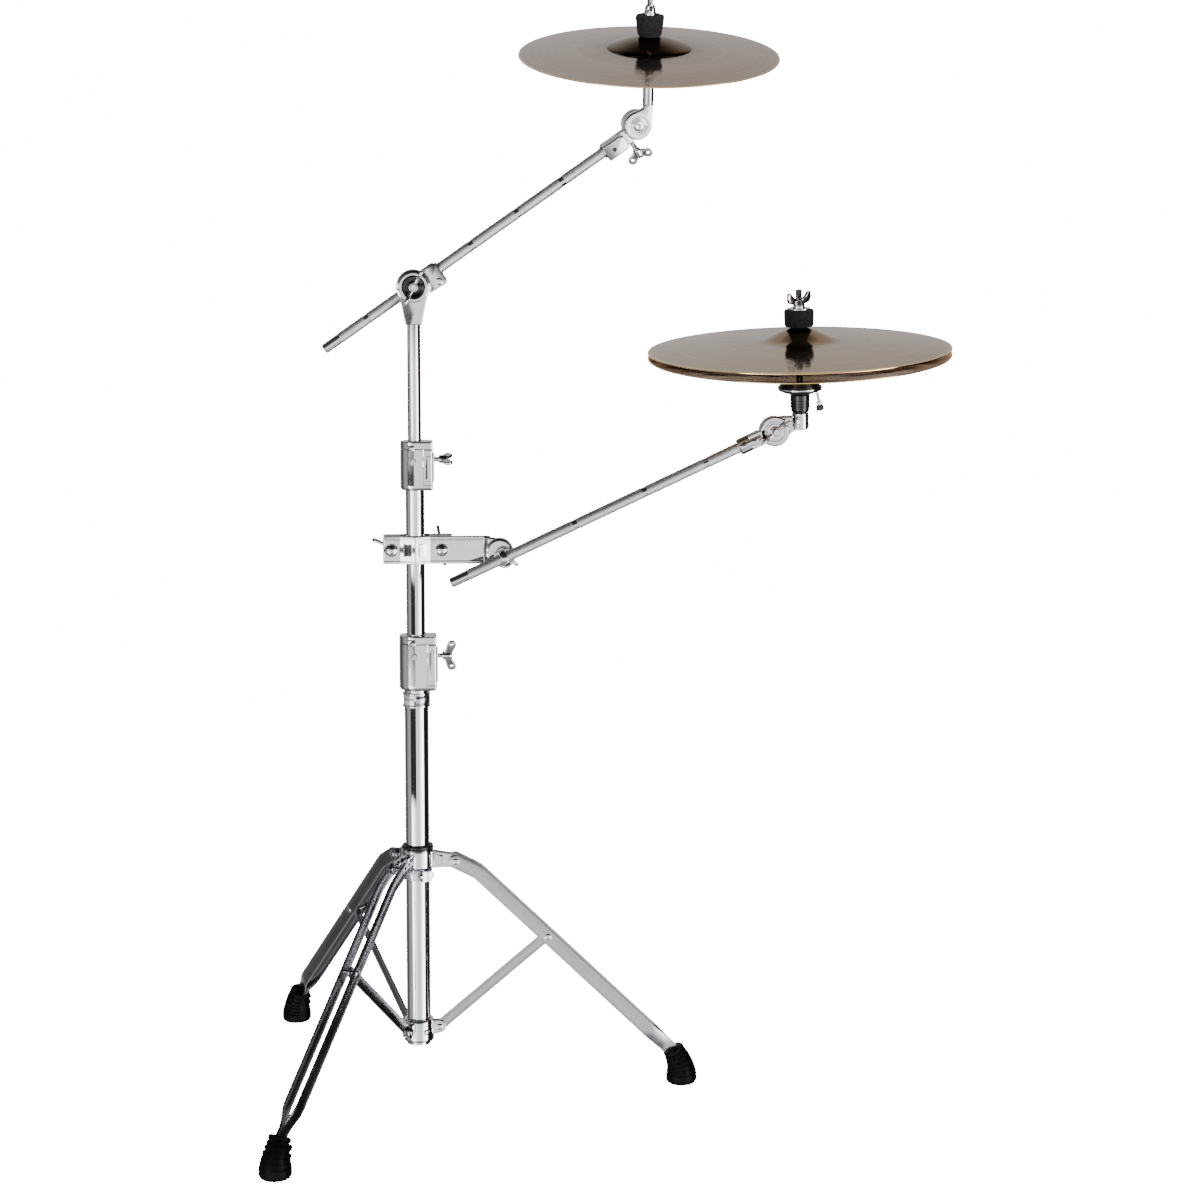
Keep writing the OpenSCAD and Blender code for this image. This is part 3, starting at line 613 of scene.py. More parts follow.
def make_base_bracket():
    s = Solid()
    z = BASE_PIVOT.y
    s.ring([(14.4, z - 16, 0.5), (17.6, z - 16, 1.2), (18.3, z - 13, 0.6), (18.3, z + 8, 0.6),
        (17.6, z + 11, 1.2), (14.4, z + 11, 0.5)], n=96)
    for k in (1, 2, 3):
        for side in (-1, 1):
            ear = bar_outline((15, z - 1), BASE_PIVOT, 17, 15, square_start=True)
            s.plate_xz([ear], 2.5, side * 3.6, at_leg(k), 0.5)
        bolt = turn("Z", 120 * k - 60) @ shift(0, 0, z - 3) @ UP_X
        dome(s, 3.5, 2.2, bolt @ shift(0, 0, 17.8))
    piece(s, "base_bracket", WORLD, CHROME_CAST)


def make_stop_ring():
    s = Solid()
    lo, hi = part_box("stop_ring")
    mid = (lo.z + hi.z) / 2 / MM
    gap = math.degrees(math.asin(0.75 / 14.35))
    ear = math.degrees(math.asin(7 / 17.3))
    loop = arc(17.3, ear, 360 - ear, 70) + [(23, -7), (24, -6), (24, -0.75)]
    loop += arc(14.35, 360 - gap, gap, 70) + [(24, 0.75), (24, 6), (23, 7)]
    place = turn("Z", -60) @ shift(0, 0, mid)
    s.plate([loop], 12.4, place, 0.35)
    head = [(0, -0.5), (3.2, -0.5), (3.2, 2.4, 0.8), (1.6, 3.0, 0.3), (1.6, 1.6), (0, 1.6)]
    for side in (-1, 1):
        bolt = place @ shift(19.5, side * 7, 0) @ turn("X", -90 * side)
        s.lathe(head, bolt, 32, mat=1)
    piece(s, "stop_ring", WORLD, ZINC, CHROME_PART)


def make_badge_band():
    s = Solid()
    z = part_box("badge_band")[0].z / MM
    s.ring([(14.36, z, 0.2), (16.6, z, 0.5), (16.6, z + 2.4, 0.5), (15.4, z + 2.8, 0.3),
        (15.4, z + 14.2, 0.3), (16.6, z + 14.6, 0.5), (16.6, z + 17, 0.5), (14.36, z + 17, 0.2)], n=96)
    for k in range(22):
        a = -148 + 4.6 * k if k < 11 else 30 + 4.6 * (k - 11)
        s.block((15.0, -0.42, z + 3), (16.3, 0.42, z + 14), turn("Z", a), 0.2, 0.2)
    section = ((15.2, 3.4), (16.0, 3.4), (16.3, 3.8), (16.3, 13.2), (16.0, 13.6), (15.2, 13.6))
    rows = []
    for k in range(25):
        a = math.radians(-92 + 108 * k / 24)
        rows.append([(r * math.cos(a), r * math.sin(a), z + h) for r, h in section])
    s.loft(rows, mat=1)
    piece(s, "badge_band", WORLD, CHROME_PART, BADGE)


def make_collar():
    s = Solid()
    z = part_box("collar")[0].z / MM
    s.ring([(16.95, z, 0.4), (18.6, z, 0.8), (19.3, z + 2, 0.5), (19.3, z + 20, 0.5), (18.6, z + 24, 0.8),
        (16.95, z + 24, 0.4)], n=96)
    for k in (1, 2, 3):
        for side in (-1, 1):
            ear = bar_outline((18, LEG_TOP.y + 2), LEG_TOP, 20, 15, square_start=True)
            hole = circle(2.7, LEG_TOP.x, LEG_TOP.y, 20)
            s.plate_xz([ear, hole], 2.5, side * 5, at_leg(k), 0.5)
            rivet = at_leg(k) @ shift(28, side * 6.1, LEG_TOP.y + 5) @ turn("X", -90 * side)
            dome(s, 3.0, 1.2, rivet, 0.2)
            flange = bar_outline((18, LEG_TOP.y + 2), (26, LEG_TOP.y + 1), 17, 12, square_start=True)
            s.plate_xz([flange], 1.6, side * 6.7, at_leg(k), 0.5)
    piece(s, "collar", WORLD, CHROME_CAST)
    bush = Solid()
    bush.ring([(15.0, z + 0.5, 0.3), (16.8, z + 0.5, 0.3), (16.8, z + 24.1), (19.0, z + 24.1, 0.6),
        (19.0, z + 28, 1.4), (15.0, z + 28, 0.8)], n=96)
    piece(bush, "collar_bush", WORLD, NYLON)


def runs_along(path):
    """The length of a path up to each of its points."""
    runs = [0.0]
    for a, b in zip(path, path[1:]):
        runs.append(runs[-1] + (b - a).length)
    return runs


def strip_rows(path, half_w, thick, side_of, taper_ends):
    """Sections of a flat strip along a path of (x, z) points. side_of gives its y at each run.

    taper_ends says which ends are round: (start, end).
    """
    runs = runs_along(path)
    total = runs[-1]
    rows = []
    for i, (p, run) in enumerate(zip(path, runs)):
        before = path[max(i - 1, 0)]
        after = path[min(i + 1, len(path) - 1)]
        ahead = (after - before).normalized()
        across = Vector((-ahead.y, ahead.x))
        w = half_w
        if taper_ends[0] and run < half_w:
            w = math.sqrt(max(half_w ** 2 - (half_w - run) ** 2, 0.6))
        if taper_ends[1] and total - run < half_w:
            w = math.sqrt(max(half_w ** 2 - (half_w - total + run) ** 2, 0.6))
        y = side_of(run)
        t = thick / 2
        c = min(0.8, t * 0.75, w * 0.5)
        section = [(w, -t + c), (w, t - c), (w - c * 0.3, t - c * 0.3), (w - c, t), (-w + c, t),
            (-w + c * 0.3, t - c * 0.3), (-w, t - c), (-w, -t + c), (-w + c * 0.3, -t + c * 0.3),
            (-w + c, -t), (w - c, -t), (w - c * 0.3, -t + c * 0.3)]
        rows.append([(p.x + across.x * u, y + v, p.y + across.y * u) for u, v in section])
    return rows


def even_path(points, bend_r, step):
    """A path through (x, z) points with rounded bends, cut into short even lengths, finer at its ends."""
    corners = [points[0]] + [(p[0], p[1], bend_r) for p in points[1:-1]] + [points[-1]]
    coarse = [Vector(p) for p in fillet(corners, closed=False, steps=8)]
    runs = runs_along(coarse)
    total = runs[-1]
    fine = [9.0 * (1 - math.cos(math.pi / 2 * k / 10)) for k in range(10)]
    count = int((total - 18) / step)
    marks = fine + [9 + (total - 18) * k / count for k in range(count + 1)]
    marks += [total - mark for mark in fine[::-1]]
    out = []
    for mark in marks:
        i = max(j for j in range(len(runs)) if runs[j] <= mark + 1e-9)
        i = min(i, len(coarse) - 2)
        share = (mark - runs[i]) / max(runs[i + 1] - runs[i], 1e-9)
        out.append(coarse[i].lerp(coarse[i + 1], share))
    return out


LEG_W = 17.0
LEG_BEND = Vector((72, 267))
LEG_END = Vector((305.5, 41))
STRIP_T = 2.5
STRIP_Y = 8.25
TOE_Y = 1.6
LEG_TAIL = 13.5             # the strips run on this far past the leg's end
CLOSE_FROM = 38             # the strips start to close this far before the leg's end
CLOSE_OVER = 31             # and lie together after this much more
FOOT_X = 318                # where a boot's sole stands


def make_legs():
    ahead = (LEG_END - LEG_BEND).normalized()
    up = (LEG_TOP - LEG_BEND).normalized()
    points = [tuple(LEG_TOP + up * LEG_W / 2), tuple(LEG_BEND), tuple(LEG_END + ahead * LEG_TAIL)]
    path = even_path(points, 22, 6)
    closing = runs_along(path)[-1] - LEG_TAIL - CLOSE_FROM

    def side_of(run):
        share = min(max((run - closing) / CLOSE_OVER, 0), 1)
        ease = share * share * (3 - 2 * share)
        return STRIP_Y + (TOE_Y - STRIP_Y) * ease

    for k in (1, 2, 3):
        s = Solid()
        for side in (-1, 1):
            rows = strip_rows(path, LEG_W / 2 - 0.05, STRIP_T, lambda run: side * side_of(run),
                (True, False))
            s.loft(rows, at_leg(k))
        for spot in (LEG_TOP, RIVET):
            place = at_leg(k) @ shift(spot.x, 0, spot.y)
            s.rod(2.5, -10, 10, place @ UP_Y, 0.2, 24, mat=1)
            for side in (-1, 1):
                head = place @ shift(0, side * (STRIP_Y + STRIP_T / 2), 0) @ turn("X", -90 * side)
                s.tube(2.6, 5.2, 0, 0.3, head, 0.1, 32, mat=1)
                dome(s, 4.3, 1.5, head, 0.3, mat=1)
        piece(s, "leg_%d" % k, WORLD, STRIP, CHROME_PART)


def make_braces():
    ahead = (RIVET - BASE_PIVOT).normalized()
    path = even_path([tuple(BASE_PIVOT - ahead * 6.5), tuple((BASE_PIVOT + RIVET) / 2),
        tuple(RIVET + ahead * 6.5)], 1, 12)
    for k in (1, 2, 3):
        s = Solid()
        s.loft(strip_rows(path, 6.45, 3.0, lambda run: 0.0, (True, True)), at_leg(k))
        place = at_leg(k) @ shift(BASE_PIVOT.x, 0, BASE_PIVOT.y)
        s.rod(2.5, -6, 6, place @ UP_Y, 0.2, 24, mat=1)
        for side in (-1, 1):
            dome(s, 4.0, 1.65, place @ shift(0, side * 5.1, 0) @ turn("X", -90 * side), 0.4, mat=1)
        piece(s, "brace_%d" % k, WORLD, STRIP, CHROME_PART)


def foot_radius_at(along):
    """The boot's radius up its axis: a fluted sole, then a body that narrows to the mouth."""
    if along < 3:
        return 16.6 + 1.9 * along / 3
    if along < 10:
        return 18.5
    return 18.5 - 5.6 * min((along - 10) / 30, 1.0)


def foot_lean_at(along):
    """How far the boot's axis leans back there, in radians."""
    return math.radians(-27) * min(max((along - 8) / 26, 0), 1)


def foot_rows(n=96):
    """Sections of the boot, from the sole up its bent axis."""
    marks = [0.0, 0.5, 1.5, 3.0, 4.5, 6.0]
    grooves = [11.5 + 5.3 * g for g in range(6)]
    for g in grooves:
        marks += [g - 0.01, g + 0.25, g + 1.55, g + 1.8]
    marks += [8.5, 10.0, 43.4, 44.2, 44.9]
    marks = sorted(set(marks + [12 + 1.0 * i for i in range(32)]))
    rows = []
    for along in marks:
        lean = foot_lean_at(along)
        cx, cz = 0.0, min(along, 8)
        past = max(along - 8, 0)
        for i in range(24):
            bend = foot_lean_at(8 + past * (i + 0.5) / 24)
            cx += math.sin(bend) * past / 24
            cz += math.cos(bend) * past / 24
        sunk = any(g < along < g + 1.79 for g in grooves)
        row = []
        for k in range(n):
            a = 2 * math.pi * k / n
            r = foot_radius_at(along)
            if along < 6:
                r -= 0.9 * (1 - along / 6) * (0.5 + 0.5 * math.cos(16 * a))
            face = abs(math.sin(a))
            if sunk and face > 0.30:
                r -= 1.3
            spine = math.exp(-((math.cos(a) - 1) / 0.012) ** 2) if math.cos(a) > 0 else 0
            r += 0.25 * spine
            if along > 43.8:
                r -= (along - 43.8) * 1.1
            x, y = r * math.cos(a), r * math.sin(a)
            row.append((cx + x * math.cos(lean), y, cz - x * math.sin(lean)))
        rows.append(row)
    return rows


def make_feet():
    rows = foot_rows()
    for k in (1, 2, 3):
        s = Solid()
        s.loft(rows, at_leg(k) @ shift(FOOT_X, 0, 0))
        for row_i in range(3):
            for side in (-1, 1):
                x, y, z = FOOT_X - 2 - 4.0 * row_i, side * (15.4 - 1.4 * row_i), 15 + 8.6 * row_i
                spot = at_leg(k) @ shift(x, y, z)
                tilt = spot @ turn("Y", -10 - 7 * row_i) @ turn("X", -90 * side)
                s.ring([(1.6, 0, 0.3), (3.4, 0, 0.3), (3.4, 1.9, 0.6), (1.6, 1.9, 0.4)], tilt, 28)
        piece(s, "foot_%d" % k, WORLD, RUBBER, sharp=32)


# ---------- height clamps ----------

def clamp_outline(r, inset=0.0, edge=3.0):
    """The casting from above: a round barrel with a square shoulder at the jaw's side."""
    side = r + 4.5 - inset
    back = r - 6 - inset
    front = -r + inset
    radius = r - inset
    start = math.degrees(math.asin(back / radius))
    loop = [(0.0, front), (side - edge, front)]
    loop += arc(edge, -90, 0, 5, side - edge, front + edge)[1:]
    loop += arc(edge, 0, 90, 5, side - edge, back - edge)
    loop += arc(radius, start, 270, 60)
    return loop[:-1]


def make_clamp(which, r, h, tube_r):
    """One height clamp: casting, jaw and screws. r is its barrel's radius, and h its height."""
    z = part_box(which + "_clamp")[0].z / MM
    s = Solid()
    full = clamp_outline(r)
    small = clamp_outline(r, 1.6)
    cut = r - 6.9
    clipped = [(min(x, cut), y) for x, y in full]
    low = [(x, y, z) for x, y in small]
    rows = [low, [(x, y, z + 2.2) for x, y in full], [(x, y, z + 6) for x, y in full]]
    rows += [[(x, y, z + 6.0) for x, y in clipped], [(x, y, z + h - 10) for x, y in clipped]]
    s.loft(rows)
    cap = clamp_outline(r, 0.15)
    s.plate([cap, circle(tube_r + 0.5, n=60)], 9.4, shift(0, 0, z + h - 4.9), 0.9)
    piece(s, which + "_clamp", WORLD, CHROME_CAST)
    jaw = Solid()
    jaw_loop = [(max(x, r - 6.5), y) for x, y in full]
    inner = [(max(x, r - 6.5), y) for x, y in clamp_outline(r, 0.8)]
    top = h - 10.4
    jaw_rows = [[(x, y, z + 6.4) for x, y in inner], [(x, y, z + 7.2) for x, y in jaw_loop],
        [(x, y, z + top - 0.8) for x, y in jaw_loop], [(x, y, z + top) for x, y in inner]]
    jaw.loft(jaw_rows)
    mid = -r * 0.45
    jaw.block((r + 3.9, mid - 4.4, z + 10.2), (r + 5.9, mid + 4.4, z + h - 14.2), None, 0.8, 0.8)
    panel = box_outline(r - 4.6, r + 2.6, z + 11, z + h - 17, 2.4)
    jaw.plate_xz([panel], 1.8, -r + 0.6, None, 0.8)
    piece(jaw, which + "_jaw", WORLD, CHROME_CAST)
    screws = Solid()
    ball = shift(-4, -r - 0.2, z + h - 8) @ DOWN_Y
    screws.lathe([(0, -2), (2.3, -2), (2.3, 0.4), (3.7, 1.2, 0.8), (3.9, 3.2, 1.2), (2.9, 5.6, 1.2),
        (1.5, 6.6, 0.3), (1.5, 5.0), (0, 5.0)], ball, 32, mat=1)
    hexagon = shift(-2, -r, z + h - 24) @ DOWN_Y
    collar = [(0, -2), (2, -2), (2, 0), (4.3, 0, 0.3), (4.3, 0.7, 0.2), (3.2, 0.7), (0, 0.7)]
    screws.lathe(collar, hexagon, 36)
    head = [(0, 0.5), (3.95, 0.5), (3.95, 2.9, 0.3), (3.3, 3.4, 0.2), (0, 3.4)]
    screws.lathe(head, hexagon, 6, flat=True)
    piece(screws, which + "_clamp_screws", WORLD, ZINC, CHROME_PART)


def make_clamps():
    make_clamp("lower", 20, 65, 11.1)
    make_clamp("upper", 17, 58, 7.95)
    for which, spin, shank, span in (("lower", 24, 19.3, 41), ("upper", -75, 19.2, 34)):
        place = at_joint(which + "_wing_turn") @ UP_X @ turn("Z", spin)
        screw_piece(which + "_wing_screw", place, shank, span)
    for node, inner, outer in (("lower_bush", 11.15, 12.7), ("upper_bush", 8.0, 9.5)):
        lo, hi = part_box(node)
        s = Solid()
        s.tube(inner, outer, lo.z / MM, hi.z / MM)
        piece(s, node, WORLD, NYLON)


# ---------- boom ----------

def make_boom_tilter():
    z = TILT_Z
    s = Solid()
    foot = [(-10, z - 44, 1), (10, z - 44, 1), (13.4, z - 24, 4), (13.4, z - 22, 2), (-13.4, z - 22, 2),
        (-13.4, z - 24, 4)]
    s.plate_xz([foot], 18.6, 0, None, 2.2)
    neck = [(-9.6, z - 44, 1), (9.6, z - 44, 1), (16.2, z - 12, 3), (16.2, z - 8, 1), (-16.2, z - 8, 1),
        (-16.2, z - 12, 3)]
    s.plate_xz([neck], 7.8, -5.5, None, 1.2)
    dish = shift(0, 0, z) @ DOWN_Y
    s.lathe([(0, 1.6), (20.1, 1.6, 0.5), (20.1, 8.6, 1.2), (17.5, 9.6, 0.6), (17.2, 12.9, 1.0),
        (14.0, 12.9, 0.8), (13.5, 11.9), (13.5, 9.4), (0, 9.4)], dish, 80)
    # The dish's hollow takes the chrome painted near black, as painted shade and painted dark reflection.
    s.lathe([(0, 9.0), (13.6, 9.0), (13.6, 12.1, 0.3), (12.4, 10.6, 1.0), (7.5, 9.7, 0.6), (7.0, 11.4, 0.3),
        (4.2, 11.4), (4.2, 9.6), (0, 9.6)], dish, 80, mat=1)
    s.lathe([(0, 8.9), (1.5, 8.9), (1.5, 9.6, 0.2), (0, 9.6)], shift(0, 0, z - 34) @ DOWN_Y, 20)
    piece(s, "tilter_post", WORLD, CHROME_CAST, DISH_CHROME_PAINTED_SHADE)

    drum = Solid()
    side = turn("X", -90)
    drum.lathe([(0, -17.8), (18.5, -17.8), (19.2, -17.2, 0.4), (20.4, -16.4, 0.5), (20.4, 9.5, 1.5),
        (17.5, 13.3, 1.2), (9, 13.3, 0.5), (8.4, 12.5, 0.4), (0, 12.5)], side, 80)
    for k in range(36):
        drum.block((19.0, -0.55, -17.7), (20.35, 0.55, -15.9), side @ turn("Z", 10 * k), 0.2, 0.15)
    shoulder = [(12, -17.5, 2), (36, -19, 4), (37.4, -15, 2), (37.4, 7, 4), (33, 10.9, 3), (14, 10.9, 3)]
    drum.plate_xz([shoulder], 13.6, -8.9, None, 1.6)
    drum.plate_xz([shoulder], 14.0, 5.8, None, 1.6)
    drum.plate_xz([[(16, -13, 1), (35, -13, 2), (35, 5, 2), (16, 5, 1)]], 28, -1.5, None, 1.0)
    drum.ring([(ROD_BORE, 37.3, 0.3), (8.6, 37.3, 0.5), (8.6, 39.0, 0.6), (ROD_BORE, 39.0, 0.3)],
        UP_X @ shift(0, 0, -0.9), 48)
    piece(drum, "tilter_drum", AT_BOOM, CHROME_CAST)

    bolts = Solid()
    spot = shift(28.5, 0, -12.2)
    bolts.lathe([(0, 16.2), (4.4, 16.2), (4.4, 19.4, 0.9), (2.3, 20.4, 0.4), (2.3, 18.2), (0, 18.2)],
        spot @ DOWN_Y, 32)
    bolts.lathe([(0, 13), (4.5, 13), (4.5, 15.3, 0.5), (0, 15.9)], spot @ UP_Y, 6, flat=True)
    piece(bolts, "rod_clamp_bolt", AT_BOOM, CHROME_PART)

    axle = Solid()
    axle.tube(ROD_BORE, 10, -4.1, 4.1, UP_X, 0.4, 48, rim=0.6)
    threaded(axle, BOLT_R, 8, 41.8, DOWN_Y)
    piece(axle, "tilter_bolt", AT_BOOM, CHROME_PART)

    place = at_joint("boom_tilter_nut_turn") @ DOWN_Y @ turn("Z", 62)
    nut_piece("tilter_wing_nut", place, 14.4, 9, 46, 15, 4.2)


def make_rod(node, place, tail, start, end, marks):
    """A knurled rod with smooth mark rings, a smooth tail and a chamfered end."""
    s = Solid()
    smooth = [(0, tail), (4.5, tail, 0.3), (5.98, tail + 1.5, 0.3), (5.98, start), (0, start)]
    s.lathe(smooth, UP_X, 48, mat=1)
    stops = [start] + [m for mark in marks for m in (mark - 3, mark + 3)] + [end]
    for a, b in zip(stops[0::2], stops[1::2]):
        knurl(s, 6.33, a, b, UP_X)
    for mark in marks:
        s.lathe([(0, mark - 3.1), (6.0, mark - 3.1), (6.0, mark + 3.1), (0, mark + 3.1)], UP_X, 48, mat=1)
    piece(s, node, place, KNURL, CHROME_TUBE)


def make_boom():
    make_rod("boom_rod", AT_BOOM, -128.5, -105, 296.9, (-66, 84, 150, 214))
    s = Solid()
    body = [(274.2, -11.8, 1.5), (300, -11.8, 1), (302.8, -9, 1), (302.8, 5, 2), (298, 7.8, 2),
        (274.2, 7.8, 2)]
    s.plate_xz([body], 17.6, 0, None, 1.4)
    s.plate_xz([box_outline(278, 296, -11.9, 7.9, 1)], 15.4, 0, None, 0.5)
    tail = [(296, -11.8, 1), (314, -11.8, 3), (314, 7.8, 1), (296, 7.8, 1)]
    s.plate_xz([tail], 8.3, 4.75, None, 1.0)
    disc = shift(324, 0, 4.7) @ UP_Y
    s.lathe([(0, 0.6), (17.3, 0.6, 0.5), (17.3, 7.6, 1.2), (15.6, 8.8, 0.6), (9, 8.8, 0.5), (8.4, 8.0, 0.3),
        (0, 8.0)], disc, 72)
    s.tube(ROD_BORE, 8.2, 272.6, 275, UP_X, 0.3, 48, rim=0.5)
    s.lathe([(0, 8.7), (2.6, 8.7, 0.2), (2.6, 9.3, 0.2), (1.5, 9.3), (1.5, 8.9), (0, 8.9)],
        shift(286, 0, -2) @ DOWN_Y, 24, mat=1)
    piece(s, "boom_socket", AT_SOCKET, CHROME_CAST, BLACK)

    head = Solid()
    front = AT_HEAD.inverted() @ AT_POST
    front.translation = front.translation / MM
    head.lathe([(0, 0.6), (17.0, 0.6, 0.4), (17.0, 7.4, 1.0), (15.6, 8.8, 0.8), (10.6, 8.8, 0.5),
        (10.0, 7.4, 0.4), (6.2, 7.2, 0.3), (5.8, 8.6, 0.3), (3.2, 8.9, 0.3), (0, 8.4)], DOWN_Y, 72)
    web = [(16.9, -2, 1), (17.3, 25.7, 1.5), (8.2, 25.7, 1.5), (5.4, 20.4, 4), (-7, 15.0, 4), (-6, 2, 1)]
    head.plate_xz([web], 8.0, -4.7, None, 1.3)
    notch = arc(8.6, 60, 330, 26) + arc(7.6, 330, 60, 26)
    head.plate_xz([notch], 1.2, -8.6, None, 0.3)
    head.rod(3.0, -8, 11.8, UP_Y, 0.4, 32, mat=1)
    head.lathe([(0, 9.4), (4.9, 9.4, 0.3), (4.9, 11.8, 0.8), (0, 11.8)], UP_Y, 6, mat=1, flat=True)
    head.lathe([(0, 22.2), (6.2, 22.2, 1.0), (6.5, 25), (6.5, SEAT - 5.2, 0.4), (5.9, SEAT - 4.1, 0.4),
        (0, SEAT - 4.1)], front, 56)
    threaded(head, BOLT_R, SEAT - 5, SEAT + 59.9, front, 1.25)
    piece(head, "boom_head", AT_HEAD, CHROME_CAST, CHROME_PART)

    place = local(AT_SOCKET, 308, 4.6, -22) @ turn("X", 180) @ turn("Z", 20)
    screw_piece("boom_wing_screw", place, 14, 32)

    sleeve = Solid()
    sleeve.ring([(4.1, SEAT - 4, 0.2), (11, SEAT - 4, 0.5), (11, SEAT - 1, 0.5), (5.3, SEAT - 1),
        (5.3, SEAT + 26, 0.4), (4.1, SEAT + 26, 0.2)], n=56)
    piece(sleeve, "boom_sleeve", AT_POST, NYLON)

    nut_piece("boom_wing_nut", local(AT_POST, z=SEAT + 35.4) @ turn("Z", 78), 15, 11, 38, 22, 4)


def make_felt(node, place, r1, r2, h, hole, seed, n=120):
    """A felt disc whose sides bulge a little and whose surface is fuzzy with fibres."""
    loop = fillet([(hole, 0, 0.8), (r1, 0, 2.2), (r1 + (r2 - r1) * 0.5 + 0.25, h * 0.5, 12), (r2, h, 2.2),
        (hole, h, 0.8)], steps=6)
    dense = []
    for i, p in enumerate(loop):
        q = loop[(i + 1) % len(loop)]
        cuts = max(1, int(math.dist(p, q) / 0.9))
        dense += [(p[0] + (q[0] - p[0]) * k / cuts, p[1] + (q[1] - p[1]) * k / cuts) for k in range(cuts)]
    s = Solid()
    s.ring(dense, n=n)
    for v in s.bm.verts:
        p = Vector(v.co)
        fuzz = noise.noise(Vector((p.x * 0.55, p.y * 0.55, p.z * 1.4 + seed)))
        fine = noise.noise(Vector((p.x * 1.7, p.y * 1.7, p.z * 3.1 + seed * 2)))
        out = Vector((p.x, p.y, 0)).normalized()
        if p.xy.length > hole + 0.5:
            v.co = p - out * (0.22 + 0.22 * fuzz + 0.14 * fine)
    thing = piece(s, node, place, FELT, sharp=180)


def cymbal_height(r, rim_r, bow, bell, crisp):
    """The height of a bowed cymbal with a bell. crisp goes from a soft bell, 0, to a round cap, 1."""
    base = bow * (1 - (r / rim_r) ** 2)
    if r >= BELL_R:
        return base
    smooth = bell * math.cos(math.pi / 2 * r / BELL_R) ** 1.7
    round_cap = bell * math.sqrt(max(1 - (r / BELL_R) ** 2.6, 0))
    return base + smooth * (1 - crisp) + round_cap * crisp


def make_cymbal(node, place, rim_r, hole, bow, bell, thick, material, crisp):
    """A thin bronze shell: fine turned profile, soft hammering, and a rounded edge."""
    steps = 150
    radii = [hole + (rim_r - hole) * i / steps for i in range(steps + 1)]
    radii = sorted(set(radii + [BELL_R * f for f in (0.9, 0.94, 0.96, 0.98, 0.99, 1.0, 1.01, 1.03)]))
    lathe_depth = 0.05
    top = []
    under = []
    for r in radii:
        z = cymbal_height(r, rim_r, bow, bell, crisp)
        ripple = lathe_depth * math.sin(r * 2.1) if BELL_R * 1.05 < r < rim_r - 3 else 0
        top.append((r, z + thick - lathe_depth + ripple))
        under.append((r, z + ripple * 0.5))
    top[-1] = (rim_r - 0.25, top[-1][1])
    edge = [(rim_r, thick * 0.5)]
    under[-1] = (rim_r - 0.25, under[-1][1])
    s = Solid()
    s.ring(top + edge + under[::-1], n=256)
    for v in s.bm.verts:
        r = v.co.xy.length
        if BELL_R * 1.1 < r < rim_r - 2:
            spot = Vector((v.co.x * 0.045, v.co.y * 0.045, 3.7))
            v.co.z += 0.16 * noise.noise(spot) + 0.05 * noise.noise(spot * 2.6)
    piece(s, node, place, material, sharp=50)


def make_cymbals():
    make_cymbal("boom_cymbal", local(AT_POST, z=SEAT - 13.5), BOOM_R, 6.5, 10, 13, 1.2, BRONZE_BOOM, 0.45)
    make_cymbal("top_hat", local(AT_STACK, z=HAT_RIM), HAT_R, 7.0, 11, 15, 1.3, BRONZE_HAT, 0.0)
    make_cymbal("bottom_hat", AT_BOTTOM_HAT, HAT_R, 7.5, 11, 15, 1.3, BRONZE_HAT, 0.0)


def make_felts():
    make_felt("boom_lower_felt", local(AT_POST, z=SEAT - 0.9), 15, 10, 8.2, 5.35, 1.0)
    make_felt("boom_upper_felt", local(AT_POST, z=SEAT + 11), 13.9, 17.3, 23.9, 5.35, 5.0)
    make_felt("hat_felt", local(AT_STACK, z=122.2), 17, 17.8, 19.9, 4.35, 9.0)


# ---------- multi-clamp ----------

CLAMP_Z = 657.5
CLAMP_BOLTS_X = (-28, 31)


